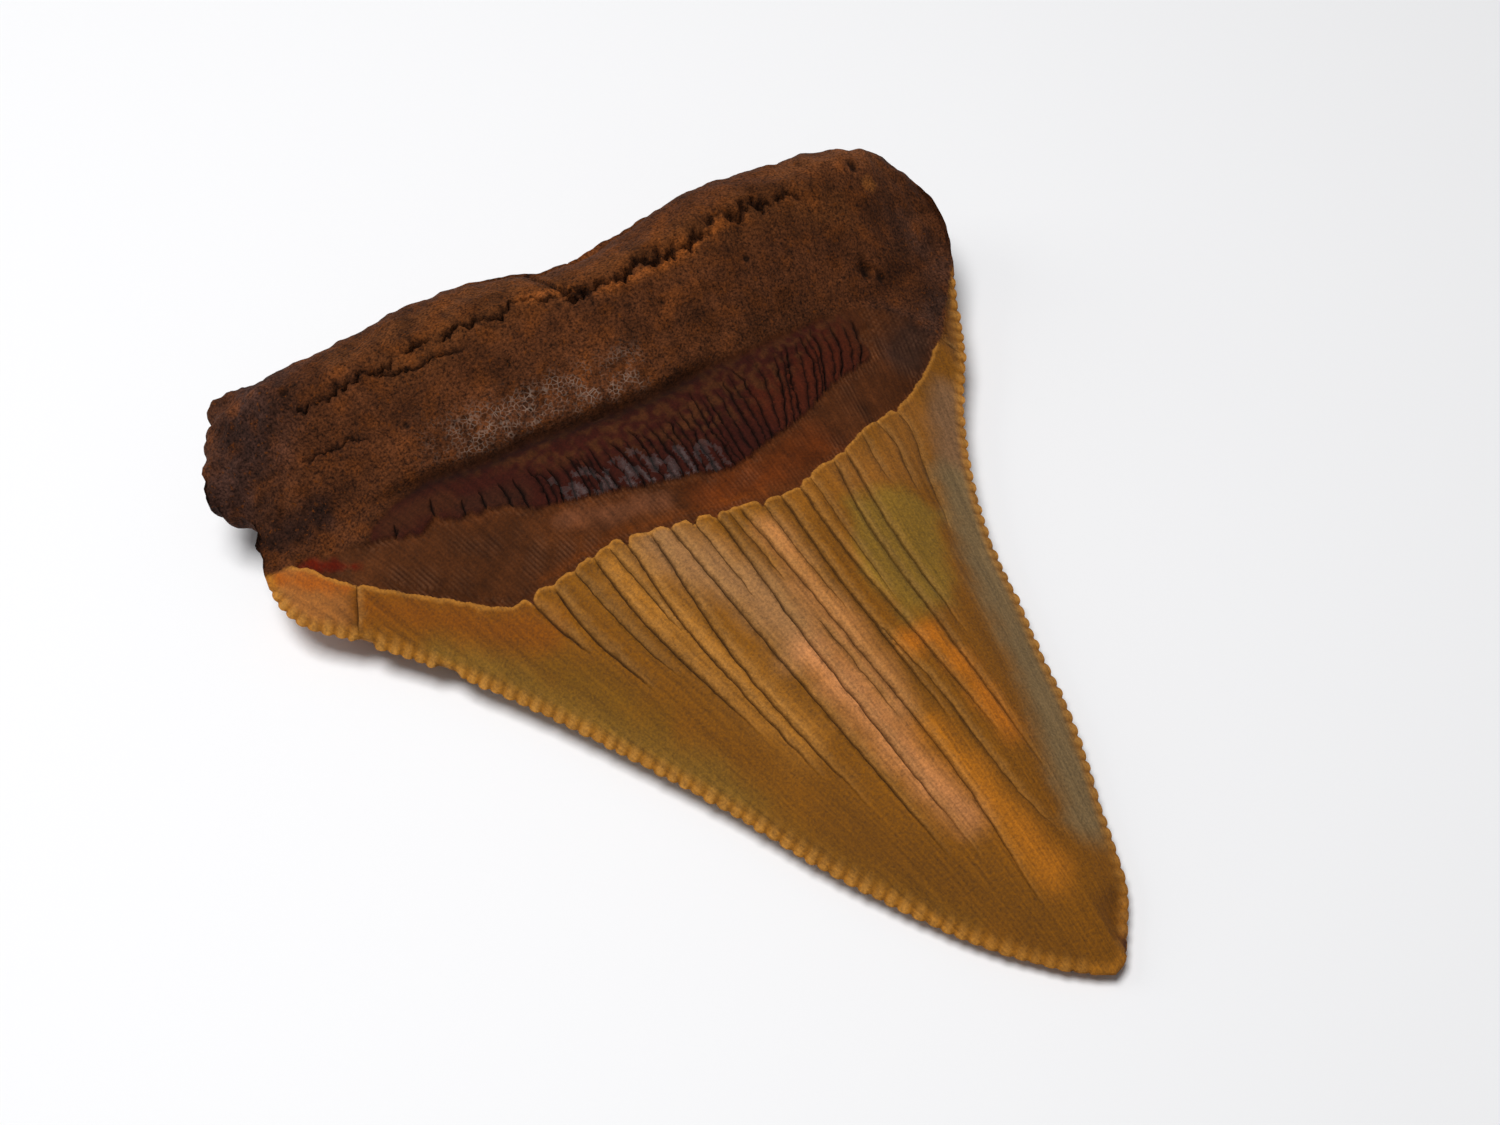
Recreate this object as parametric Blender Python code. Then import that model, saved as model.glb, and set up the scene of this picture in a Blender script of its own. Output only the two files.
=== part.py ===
"""A fossil megalodon tooth, lying on its flat labial face with the convex lingual face up.

The tooth is one solid: a thick bony root with two lobes, a dentine band with cracked plates, and a bladed
crown covered in enamel, with serrations along both cutting edges. X runs across the root's lobes, Y from the
tip to the root, and Z up. Both faces are height functions over the plan, triangulated inside one shared rim.
"""
import math

import bmesh
import bpy
import numpy as np
from mathutils import Vector, noise
from mathutils.geometry import delaunay_2d_cdt

MM = 0.001

# Rim of the tooth seen from above, in mm: x, y and the height of the edge
LEFT_EDGE = (
    (11.6, -31.4, 1.0), (7.8, -28.7, 1.0), (4.3, -25.3, 1.1), (-0.9, -18.5, 1.3), (-4.8, -12.3, 1.5),
    (-9.0, -6.3, 1.7), (-13.4, -0.4, 1.9), (-18.2, 5.1, 2.2), (-22.5, 9.1, 2.6), (-24.7, 10.9, 2.9),
    (-25.8, 13.3, 3.2), (-25.9, 15.4, 3.6),
)
RIGHT_EDGE = (
    (12.3, -30.6, 1.0), (13.6, -29.1, 1.0), (15.1, -26.4, 1.1), (16.4, -21.1, 1.2), (17.3, -17.7, 1.3),
    (18.0, -14.1, 1.4), (18.4, -10.3, 1.5), (19.0, -6.4, 1.6), (19.4, -2.4, 1.8), (20.3, 1.6, 2.0),
    (21.6, 5.5, 2.2), (23.3, 9.3, 2.4), (25.5, 13.2, 2.8), (27.1, 17.5, 3.4), (28.2, 20.2, 4.2),
)
ROOT_RIM = (
    (28.9, 23.2, 5.4), (28.7, 26.1, 6.0), (27.1, 28.8, 6.3), (24.0, 30.4, 6.5), (20.0, 30.8, 6.5),
    (14.5, 30.6, 6.5), (9.0, 29.5, 6.5), (4.0, 27.9, 6.5), (0.2, 27.1, 6.5), (-2.0, 27.2, 6.5),
    (-4.5, 28.1, 6.5), (-8.0, 28.8, 6.5), (-13.0, 28.6, 6.4), (-18.0, 28.1, 6.3), (-21.8, 27.9, 6.2),
    (-24.6, 28.1, 6.1), (-26.0, 26.2, 6.0), (-26.9, 23.8, 5.8), (-27.8, 21.8, 5.4), (-27.1, 20.4, 5.0),
    (-25.7, 18.8, 4.6), (-25.7, 17.0, 4.1),
)

# Heights along the tooth, in mm: y and the height of the crown's crest
CREST = ((-31.5, 0.9), (-29.0, 1.9), (-26.0, 3.1), (-20.0, 4.9), (-12.0, 6.9), (-4.0, 8.5), (4.0, 9.5),
         (12.0, 10.0), (32.0, 10.0))
# x and the height of the root's swollen lingual face
SWELL = ((-29.0, 8.6), (-24.0, 10.2), (-16.0, 12.0), (-8.0, 13.2), (0.0, 13.9), (8.0, 14.0), (16.0, 12.9),
         (23.0, 11.6), (29.0, 9.6))
CROWN_BELL = 1.1
ROOT_ROUND = 6.5
LIP_RISE = 0.38
LIP_WIDTH = 0.9
LIP_RUN = 8.0

# Lines across the lingual face, left to right, in mm
ENAMEL_LINE = (
    (-26.4, 16.6), (-23.5, 14.4), (-21.3, 11.9), (-18.3, 9.5), (-15.5, 7.4), (-12.6, 5.2), (-10.8, 4.9),
    (-8.8, 4.7), (-6.6, 4.9), (-5.1, 5.0), (-3.2, 4.6), (0.0, 4.0), (3.3, 3.6), (6.1, 3.5), (7.3, 3.8),
    (9.4, 4.9), (11.4, 5.7), (14.0, 7.4), (16.1, 8.4), (18.2, 9.4), (19.9, 10.6), (21.6, 12.0),
    (23.7, 14.2), (25.3, 16.3), (27.0, 18.5), (28.4, 20.4),
)
PLATE_LINE = (
    (-20.5, 14.3), (-18.0, 12.8), (-15.9, 11.8), (-14.5, 12.2), (-12.5, 11.1), (-10.5, 10.6), (-8.5, 9.3),
    (-6.0, 8.6), (-3.5, 7.9), (-1.0, 7.3), (1.8, 6.8), (3.5, 6.4), (5.5, 6.9), (8.0, 8.0), (10.4, 9.1),
    (12.5, 10.5), (14.5, 11.7), (17.0, 12.7), (19.3, 14.3),
)
GROOVE = (
    (-26.2, 17.6), (-23.0, 16.2), (-18.1, 15.5), (-13.8, 15.1), (-10.5, 14.3), (-7.0, 14.1), (-2.2, 13.7),
    (1.5, 13.8), (5.5, 14.6), (8.8, 15.1), (12.7, 16.0), (17.5, 17.3), (23.3, 19.3), (28.6, 21.6),
)
FISSURE = (
    (-20.4, 22.3), (-17.7, 21.9), (-14.1, 22.0), (-11.3, 22.0), (-7.9, 21.7), (-3.7, 21.7), (-1.4, 21.3),
    (1.1, 20.8), (3.4, 21.1), (6.6, 21.6), (8.1, 21.9), (10.0, 22.9), (11.7, 23.4), (15.2, 23.7), (17.4, 24.2),
    (20.2, 24.7),
)
NOTCH_CRACK = ((-2.2, 26.9), (-2.4, 24.3), (-1.5, 22.2))
BASE_CRACK = ((-13.2, 20.6), (-11.0, 20.4), (-8.6, 20.0))

# Age cracks in the enamel from the enamel line towards the tip, each by a few points in mm
CROWN_CRACKS = (
    ((-11.0, 4.3), (-10.3, 2.8), (-8.9, -0.1)),
    ((-9.4, 4.1), (-8.4, 0.6), (-6.2, -4.1)),
    ((-6.5, 3.9), (-5.1, -0.9), (-1.5, -10.0)),
    ((-4.3, 4.0), (-3.0, -2.6), (0.7, -14.0)),
    ((-2.7, 3.9), (-1.2, -5.4), (2.4, -16.6)),
    ((-1.5, 3.7), (0.8, -5.2), (5.4, -21.4)),
    ((0.0, 3.4), (0.8, 0.1), (1.4, -2.8)),
    ((1.5, 3.1), (3.3, -7.0), (7.0, -22.2)),
    ((3.1, 2.9), (5.4, -6.5), (7.9, -17.1), (9.1, -26.0)),
    ((6.0, 2.8), (6.9, -3.9), (9.1, -14.2)),
    ((7.7, -7.3), (9.6, -13.0), (12.4, -22.8)),
    ((7.5, 3.2), (8.4, -2.7), (11.8, -16.0)),
    ((10.7, 4.6), (10.8, -2.1), (13.7, -19.4)),
    ((11.9, 5.1), (12.2, -1.5), (13.2, -8.8)),
    ((17.2, 7.9), (17.3, 4.2), (16.6, -0.9)),
)
PLATE_CRACKS = (
    ((-14.5, 12.1), (-14.4, 13.7)), ((-11.3, 10.8), (-11.4, 13.2)), ((-7.7, 9.2), (-7.6, 12.6)),
    ((-5.1, 8.4), (-5.4, 12.3)), ((-3.1, 7.9), (-4.0, 12.2)), ((-1.6, 7.6), (-2.4, 12.4)),
    ((1.0, 7.1), (0.5, 12.0)), ((2.8, 6.6), (2.7, 12.0)), ((5.0, 6.8), (4.7, 12.5)),
    ((7.6, 7.9), (7.4, 13.6)), ((9.2, 8.7), (10.8, 14.4)), ((13.2, 11.0), (14.2, 15.6)),
)
LABIAL_LINE = (
    (-25.0, 15.0), (-20.0, 13.5), (-12.0, 12.0), (-5.0, 10.8), (1.0, 10.4), (8.0, 11.5), (16.0, 14.0),
    (22.0, 16.5), (26.8, 19.0),
)
LABIAL_CRACKS = (
    ((-9.0, 9.5), (-6.0, 2.0), (-1.0, -7.0)),
    ((12.0, 11.0), (12.5, 2.0), (13.5, -9.0)),
)

# Small relief, in mm
SERRATION_PITCH = 0.92
SERRATION_DEPTH = 0.26
FIRST_SERRATION = 1.6
LAST_SERRATION = 1.2
SERRATION_PHASES = (0.0, 0.2, 0.5, 0.8)
SERRATION_BACK = 0.32
ENAMEL_STEP = 0.35
ENAMEL_SLOPE = 0.25
PLATE_STEP = 0.3
PLATE_SLOPE = 0.3
PLATE_FADE = 1.5
PLATE_GROOVE_WIDTH = 0.5
PLATE_GROOVE_DEPTH = 0.15
RELIEF_FADE = 1.2
LUMP_FADE = 2.0
CRACK_DEPTH = 0.3
CRACK_WIDTH = 0.6
FISSURE_DEPTH = 0.7
FISSURE_WIDTH = 1.1
LUMP_HEIGHT = 0.3
LUMP_SIZE = 4.5
CHIP_DEPTH = 0.2
CHIPS = ((-17.2, 4.4, 1.4), (-21.6, 8.3, 1.0))
# Nutrient pits in the root: x, y, radius and depth
PITS = ((18.8, 17.9, 0.9, 0.7), (-14.0, 18.2, 0.8, 0.5), (-6.5, 18.6, 0.7, 0.5), (4.6, 18.9, 0.8, 0.6),
        (11.5, 20.6, 0.7, 0.5), (-20.5, 23.5, 0.8, 0.5), (22.5, 26.2, 0.8, 0.6))

# Labial face, in mm
CROWN_CURL = 6.5
ROOT_CURL = 4.5
ARCH_HEIGHT = 1.5
ARCH_WIDTH = 8.0
REST_PATCH = ((-2.0, -6.0), (9.0, -6.0), (9.0, 5.0), (-2.0, 5.0))

# Spacing of the mesh, in mm
RIM_STEP = 1.3
LINE_STEP = 1.5
CROWN_STEP = 1.75
ROOT_STEP = 1.3
LABIAL_STEP = 2.7
MERGE_GAP = 0.05
TOP_RINGS = (1.2, 2.2, 3.4)
LABIAL_RINGS = (1.5, 3.0, 4.6)

ENAMEL_COLOUR = (0.27, 0.13, 0.035, 1.0)
ENAMEL_ROUGHNESS = 0.45
CREASE_ANGLE = 35


def smooth_curve(points, step=0.4):
    """Dense points along a Catmull-Rom curve through the given points."""
    controls = [np.array(point, float) for point in points]
    dense = []
    for index in range(len(controls) - 1):
        b, c = controls[index], controls[index + 1]
        a = controls[index - 1] if index else 2 * b - c
        d = controls[index + 2] if index + 2 < len(controls) else 2 * c - b
        pieces = max(2, math.ceil(np.linalg.norm(c[:2] - b[:2]) / step))
        for piece in range(pieces):
            t = piece / pieces
            dense.append(0.5 * (2 * b + (c - a) * t + (2 * a - 5 * b + 4 * c - d) * t * t
                                + (3 * b - a - 3 * c + d) * t ** 3))
    dense.append(controls[-1])
    return np.array(dense)


def arc_lengths(curve):
    """Distance along a curve of plan points, from its first point."""
    steps = np.linalg.norm(np.diff(curve[:, :2], axis=0), axis=1)
    return np.concatenate([[0.0], np.cumsum(steps)])


def resample(curve, places):
    """Points at the given distances along a dense curve."""
    lengths = arc_lengths(curve)
    return np.stack([np.interp(places, lengths, curve[:, axis]) for axis in range(curve.shape[1])], axis=1)


def evenly(curve, step):
    """Points along a dense curve at about the given spacing, both ends included."""
    total = arc_lengths(curve)[-1]
    return resample(curve, np.linspace(0.0, total, max(2, round(total / step)) + 1))


def distance_to(points, line):
    """Distance in the plan from each point to the nearest part of a line."""
    start, end = line[:-1, :2], line[1:, :2]
    along = end - start
    lengths = np.maximum((along ** 2).sum(axis=1), 1e-12)
    gap = points[:, None, :2] - start[None]
    t = np.clip((gap * along[None]).sum(axis=2) / lengths, 0.0, 1.0)
    return np.linalg.norm(gap - t[..., None] * along[None], axis=2).min(axis=1)


def smoothstep(value):
    """An S-shaped ramp from 0 to 1."""
    value = np.clip(value, 0.0, 1.0)
    return value * value * (3 - 2 * value)


def above(points, line):
    """Signed distance past a line that runs from left to right, positive on the root's side."""
    height = np.interp(points[:, 0], line[:, 0], line[:, 1])
    return np.where(points[:, 1] > height, 1.0, -1.0) * distance_to(points, line)


def groove_depth(points, line, width, depth):
    """Depth of a V-shaped groove of the given width along a line."""
    return depth * np.clip(1 - distance_to(points, line) / (width / 2), 0.0, 1.0)


LEFT = smooth_curve(LEFT_EDGE)
RIGHT = smooth_curve(LEFT_EDGE[:1] + RIGHT_EDGE)
ROOT = smooth_curve(RIGHT_EDGE[-1:] + ROOT_RIM + LEFT_EDGE[-1:])
RIM = np.concatenate([RIGHT, ROOT[1:-1], LEFT[::-1]])
CREST_CURVE = smooth_curve(CREST)
SWELL_CURVE = smooth_curve(SWELL)
LINES = {name: smooth_curve(points) for name, points in (
    ("enamel", ENAMEL_LINE), ("plates", PLATE_LINE), ("groove", GROOVE), ("fissure", FISSURE),
    ("labial", LABIAL_LINE))}
CRACKS = [smooth_curve(points) for points in CROWN_CRACKS + PLATE_CRACKS]
ROOT_CRACKS = [smooth_curve(points) for points in (NOTCH_CRACK, BASE_CRACK)]
UNDER_CRACKS = [smooth_curve(points) for points in LABIAL_CRACKS]


def edge_at(edge, y, axis):
    """A cutting edge's x or height at each y, held past its ends."""
    return np.interp(y, edge[:, 1], edge[:, axis])


def crown_height(points):
    """Height of the crown's convex face, without its small relief."""
    x, y = points[:, 0], points[:, 1]
    left, right = edge_at(LEFT, y, 0), edge_at(RIGHT, y, 0)
    share = np.clip((x - left) / np.maximum(right - left, 0.1), 0.0, 1.0)
    rim = edge_at(LEFT, y, 2) * (1 - share) + edge_at(RIGHT, y, 2) * share
    crest = np.interp(y, CREST_CURVE[:, 0], CREST_CURVE[:, 1])
    across = 2 * share - 1
    return rim + np.maximum(crest - rim, 0.0) * np.clip(1 - across ** 2, 0.0, 1.0) ** CROWN_BELL


def rim_height(points):
    """Height of the nearest point of the root's rim."""
    gaps = np.linalg.norm(points[:, None, :2] - ROOT[None, :, :2], axis=2)
    return ROOT[gaps.argmin(axis=1), 2]


def root_height(points):
    """Height of the root's swollen face, rounded down to its rim."""
    swell = np.interp(points[:, 0], SWELL_CURVE[:, 0], SWELL_CURVE[:, 1])
    rim = rim_height(points)
    reach = 1 - np.clip(distance_to(points, ROOT) / ROOT_ROUND, 0.0, 1.0)
    return rim + (swell - rim) * np.sqrt(1 - reach ** 2)


def lumps(points):
    """Soft unevenness of the bony root."""
    return np.array([noise.noise(Vector((x / LUMP_SIZE, y / LUMP_SIZE, 3.7))) for x, y in points[:, :2]])


def pit_depth(points):
    """Depth of the nutrient pits."""
    depth = np.zeros(len(points))
    for x, y, radius, deep in PITS:
        gap = np.linalg.norm(points[:, :2] - np.array((x, y)), axis=1)
        depth = np.maximum(depth, deep * np.clip(1 - gap / radius, 0.0, 1.0))
    return depth


def lingual_height(points):
    """Height of the upper face at plan points."""
    past_groove = above(points, LINES["groove"])
    past_enamel = above(points, LINES["enamel"])
    on_plates = above(points, LINES["plates"])
    inside = distance_to(points, RIM)
    crown = crown_height(points)
    lip = (LIP_RISE * (1 - np.exp(-np.maximum(past_groove, 0.0) / LIP_WIDTH))
           + (1 - LIP_RISE) * smoothstep(past_groove / LIP_RUN))
    height = crown + np.maximum(root_height(points) - crown, 0.0) * lip
    relief = -ENAMEL_STEP * np.clip(past_enamel / ENAMEL_SLOPE, 0.0, 1.0) * (past_groove < 0)
    plate = np.clip(on_plates / PLATE_SLOPE, 0.0, 1.0) * np.clip(-past_groove / PLATE_FADE, 0.0, 1.0)
    relief += PLATE_STEP * plate
    relief -= groove_depth(points, LINES["plates"], PLATE_GROOVE_WIDTH, PLATE_GROOVE_DEPTH)
    relief -= groove_depth(points, LINES["fissure"], FISSURE_WIDTH, FISSURE_DEPTH)
    for line in CRACKS:
        relief -= groove_depth(points, line, CRACK_WIDTH, CRACK_DEPTH)
    for line in ROOT_CRACKS:
        relief -= groove_depth(points, line, FISSURE_WIDTH, FISSURE_DEPTH)
    relief -= pit_depth(points)
    relief += LUMP_HEIGHT * lumps(points) * smoothstep(past_groove / LUMP_FADE)
    return height + relief * smoothstep(inside / RELIEF_FADE)


def labial_height(points):
    """Height of the lower face at plan points, nothing below the surface it rests on."""
    y = points[:, 1]
    half_width = 0.5 * (edge_at(RIGHT, y, 0) - edge_at(LEFT, y, 0))
    inside = distance_to(points, RIM)
    near = np.linalg.norm(points[:, None, :2] - RIM[None, :, :2], axis=2).argmin(axis=1)
    rim = RIM[near, 2]
    bony = smoothstep((y - 10.0) / 10.0)
    crown_curl = np.clip(1 - inside / np.minimum(CROWN_CURL, 0.75 * np.maximum(half_width, 0.6)), 0.0, 1.0)
    root_curl = np.clip(1 - inside / ROOT_CURL, 0.0, 1.0)
    curl = (1 - bony) * crown_curl ** 1.5 + bony * (1 - np.sqrt(1 - root_curl ** 2))
    arch = ARCH_HEIGHT * np.exp(-((points[:, 0] - 1.0) / ARCH_WIDTH) ** 2) * smoothstep((y - 18.0) / 8.0)
    relief = groove_depth(points, LINES["labial"], CRACK_WIDTH, CRACK_DEPTH)
    for line in UNDER_CRACKS:
        relief = np.maximum(relief, groove_depth(points, line, CRACK_WIDTH, CRACK_DEPTH))
    fade = smoothstep(inside / RELIEF_FADE)
    return np.minimum(rim * curl + (arch + relief) * fade, rim)


def serration(phase, size):
    """Outward reach of one rounded serration, from the notch at phase 0 to the next."""
    return SERRATION_DEPTH * (size * (1 - abs(2 * phase - 1) ** 3) - 0.6)


def outward(edge, places):
    """Plan directions out of the tooth at distances along a counter-clockwise edge."""
    ahead = resample(edge, places + 0.3)[:, :2] - resample(edge, places - 0.3)[:, :2]
    ahead /= np.linalg.norm(ahead, axis=1)[:, None]
    return np.stack([ahead[:, 1], -ahead[:, 0]], axis=1)


def serrated(edge, first, last):
    """Rim points of a serrated cutting edge, four to each serration, and a point behind each serration."""
    total = arc_lengths(edge)[-1]
    count = round((total - first - last) / SERRATION_PITCH)
    pitch = (total - first - last) / count
    places = []
    reach = []
    for index in range(count):
        size = 0.85 + 0.15 * math.sin(2.4 * index) * math.cos(0.7 * index)
        for phase in SERRATION_PHASES:
            places.append(first + pitch * (index + phase + 0.05 * math.sin(1.9 * index)))
            reach.append(serration(phase, size))
    places = np.array(places)
    points = resample(edge, places)
    reach = np.array(reach)
    for x, y, radius in CHIPS:
        worn = smoothstep(1.5 * (1 - np.linalg.norm(points[:, :2] - np.array((x, y)), axis=1) / radius))
        reach = (1 - worn) * reach - worn * CHIP_DEPTH
    middles = places[2::len(SERRATION_PHASES)]
    behind = resample(edge, middles)[:, :2] - SERRATION_BACK * outward(edge, middles)
    points[:, :2] += outward(edge, places) * reach[:, None]
    return points, behind


def rim_points():
    """The shared rim of both faces, counter-clockwise from the tip, and the row of points behind it."""
    right, behind_right = serrated(RIGHT, FIRST_SERRATION, LAST_SERRATION)
    left, behind_left = serrated(LEFT[::-1], LAST_SERRATION, FIRST_SERRATION)
    tip = np.array([LEFT[0]])
    root = evenly(ROOT, RIM_STEP)
    total = arc_lengths(ROOT)[-1]
    places = np.arange(1, len(root) - 1) * total / (len(root) - 1)
    behind_root = resample(ROOT, places)[:, :2] - SERRATION_BACK * outward(ROOT, places)
    return np.concatenate([tip, right, root, left]), np.concatenate([behind_right, behind_root, behind_left])


def inset_ring(distance, step):
    """Points inside the rim at one distance from it, where they are not too near another stretch."""
    points = evenly(RIM, step)[:-1]
    ahead = np.roll(points, -1, axis=0) - np.roll(points, 1, axis=0)
    ahead /= np.linalg.norm(ahead[:, :2], axis=1)[:, None]
    inner = points[:, :2] + distance * np.stack([-ahead[:, 1], ahead[:, 0]], axis=1)
    return inner[distance_to(inner, RIM) > 0.93 * distance]


def inside_rim(points, margin):
    """Which points are inside the rim and further from it than a margin."""
    x, y = points[:, 0], points[:, 1]
    start, end = RIM[:-1], RIM[1:]
    crosses = (start[:, 1] > y[:, None]) != (end[:, 1] > y[:, None])
    rise = np.where(end[:, 1] == start[:, 1], 1e-9, end[:, 1] - start[:, 1])
    at = start[:, 0] + (y[:, None] - start[:, 1]) / rise * (end[:, 0] - start[:, 0])
    odd = (crosses & (x[:, None] < at)).sum(axis=1) % 2 == 1
    return odd & (distance_to(points, RIM) > margin)


def fill(step, margin, low, high):
    """Points of a triangular grid inside the rim between two heights of the plan."""
    rows = np.arange(low, high, step * math.sqrt(3) / 2)
    grid = []
    for row, y in enumerate(rows):
        for x in np.arange(-30.0 + (row % 2) * step / 2, 30.0, step):
            grid.append((x, y))
    grid = np.array(grid)
    return grid[inside_rim(grid, margin)]


def parallel(line, offset):
    """A line beside another, by an offset towards its left."""
    ahead = np.gradient(line[:, :2], axis=0)
    ahead /= np.linalg.norm(ahead, axis=1)[:, None]
    return line[:, :2] + offset * np.stack([-ahead[:, 1], ahead[:, 0]], axis=1)


def grooved(line, width):
    """The bottom of a groove and its two banks, as lines for the mesh to follow."""
    middle = evenly(line, LINE_STEP)[:, :2]
    return [middle, parallel(middle, width / 2), parallel(middle, -width / 2)]


def lingual_lines():
    """Every line that the upper face's mesh follows."""
    enamel = evenly(LINES["enamel"], LINE_STEP)[:, :2]
    lines = [enamel, parallel(enamel, ENAMEL_SLOPE), evenly(LINES["groove"], LINE_STEP)[:, :2]]
    lines += grooved(LINES["plates"], 2 * PLATE_SLOPE)
    lines += grooved(LINES["fissure"], FISSURE_WIDTH)
    for line in CRACKS:
        lines += grooved(line, CRACK_WIDTH)
    for line in ROOT_CRACKS:
        lines += grooved(line, FISSURE_WIDTH)
    return [keep_inside(line) for line in lines]


def labial_lines():
    """Every line that the lower face's mesh follows."""
    lines = grooved(LINES["labial"], CRACK_WIDTH)
    for line in UNDER_CRACKS:
        lines += grooved(line, CRACK_WIDTH)
    patch = np.array(REST_PATCH + REST_PATCH[:1])
    return [keep_inside(line) for line in lines] + [patch]


def keep_inside(line):
    """A line without the points that come too near the rim."""
    return line[inside_rim(line, 0.7)]


def pit_points():
    """The middle and the brim of each nutrient pit."""
    points = []
    for x, y, radius, _ in PITS:
        points.append((x, y))
        for turn in range(7):
            angle = 2 * math.pi * turn / 7
            points.append((x + radius * math.cos(angle), y + radius * math.sin(angle)))
    return np.array(points)


def apart(points, others, gap):
    """The points that are further than a gap from all others."""
    near = np.linalg.norm(points[:, None] - others[None], axis=2).min(axis=1)
    return points[near > gap]


def triangulate(rim, lines, loose):
    """Triangles over the plan inside the rim, with the lines kept as edges, and each rim point's number."""
    coords = [Vector(point) for point in rim[:, :2]]
    edges = [(index, (index + 1) % len(rim)) for index in range(len(rim))]
    for line in lines:
        first = len(coords)
        coords += [Vector(point) for point in line]
        edges += [(first + index, first + index + 1) for index in range(len(line) - 1)]
    coords += [Vector(point) for point in loose]
    places, _, faces, origins, _, _ = delaunay_2d_cdt(coords, edges, [], 1, MERGE_GAP)
    rim_number = {}
    for number, sources in enumerate(origins):
        for source in sources:
            if source < len(rim):
                rim_number[number] = source
    return np.array([tuple(place) for place in places]), faces, rim_number


def add_sheet(model, shared, layout, height, upward):
    """One face of the tooth, joined to the other along the shared rim."""
    places, faces, rim_number = layout
    heights = height(places)
    corners = []
    for number, (x, y) in enumerate(places):
        if number in rim_number:
            corners.append(shared[rim_number[number]])
        else:
            corners.append(model.verts.new((x * MM, y * MM, heights[number] * MM)))
    for face in faces:
        ring = [corners[number] for number in face]
        model.faces.new(ring if upward else ring[::-1])


def lingual_layout(rim, behind):
    """Triangles of the upper face: fine on the root, along the lines and by the serrations."""
    lines = lingual_lines()
    rings = [inset_ring(distance, max(1.0, 0.5 * distance + 0.6)) for distance in TOP_RINGS]
    grid = np.concatenate([fill(CROWN_STEP, 4.2, -30.0, 13.0), fill(ROOT_STEP, 4.2, 13.0, 31.0)])
    loose = np.concatenate([behind, pit_points()])
    for points, gap in [(ring, 0.6) for ring in rings] + [(grid, 0.8)]:
        points = apart(points, np.concatenate(lines + [loose]), gap)
        loose = np.concatenate([loose, points])
    return triangulate(rim, lines, loose)


def labial_layout(rim, behind):
    """Triangles of the lower face, with one bare flat patch in its middle."""
    lines = labial_lines()
    rings = [inset_ring(distance, max(1.0, 0.6 * distance + 0.5)) for distance in LABIAL_RINGS]
    grid = fill(LABIAL_STEP, 5.6, -30.0, 31.0)
    (low_x, low_y), (high_x, high_y) = REST_PATCH[0], REST_PATCH[2]
    in_patch = ((grid > (low_x - 1, low_y - 1)) & (grid < (high_x + 1, high_y + 1))).all(axis=1)
    loose = behind
    for points, gap in [(ring, 0.7) for ring in rings] + [(grid[~in_patch], 1.2)]:
        points = apart(points, np.concatenate(lines + [loose]), gap)
        loose = np.concatenate([loose, points])
    return triangulate(rim, lines, loose)


def clear_scene():
    """An empty scene to build in."""
    for item in list(bpy.data.objects):
        bpy.data.objects.remove(item, do_unlink=True)


def enamel_material():
    """Brown fossil enamel and bone, smooth but not polished."""
    material = bpy.data.materials.new("fossil enamel")
    material.use_nodes = True
    shader = material.node_tree.nodes["Principled BSDF"]
    shader.inputs["Base Color"].default_value = ENAMEL_COLOUR
    shader.inputs["Roughness"].default_value = ENAMEL_ROUGHNESS
    shader.inputs["Metallic"].default_value = 0.0
    return material


def centre(model):
    """Move the model so that the middle of its footprint is the origin and its lowest point is at zero."""
    places = np.array([tuple(vertex.co) for vertex in model.verts])
    low, high = places.min(axis=0), places.max(axis=0)
    shift = Vector((-(low[0] + high[0]) / 2, -(low[1] + high[1]) / 2, -low[2]))
    bmesh.ops.translate(model, verts=model.verts, vec=shift)


def build_tooth():
    """The whole tooth as one closed body."""
    rim, behind = rim_points()
    model = bmesh.new()
    shared = [model.verts.new((x * MM, y * MM, z * MM)) for x, y, z in rim]
    add_sheet(model, shared, lingual_layout(rim, behind), lingual_height, True)
    add_sheet(model, shared, labial_layout(rim, behind), labial_height, False)
    centre(model)
    mesh = bpy.data.meshes.new("tooth")
    model.to_mesh(mesh)
    model.free()
    mesh.materials.append(enamel_material())
    mesh.shade_smooth()
    mesh.set_sharp_from_angle(angle=math.radians(CREASE_ANGLE))
    tooth = bpy.data.objects.new("tooth", mesh)
    bpy.context.scene.collection.objects.link(tooth)


clear_scene()
build_tooth()
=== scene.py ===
"""A fossil megalodon tooth on a pale table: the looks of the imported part.

The tooth lies on its flat labial face with the convex lingual face up. X runs across the root's lobes, Y
from the tip to the root and Z up, as in the part. Every size below is in mm on those axes unless it says
otherwise.
The tooth grew as one body, so it is one piece. Its two faces are sheets over the plan, finer than edit-mode
operators reach: points follow each crack, stria and serration, and each sheet is then raised to its height.
Operators join the sheets, weld them along the rim and finish them.
"""

import logging
import math
from dataclasses import dataclass, field
from enum import Enum

import bpy
import numpy as np
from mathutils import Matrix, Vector, kdtree, noise
from mathutils.geometry import delaunay_2d_cdt


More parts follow.
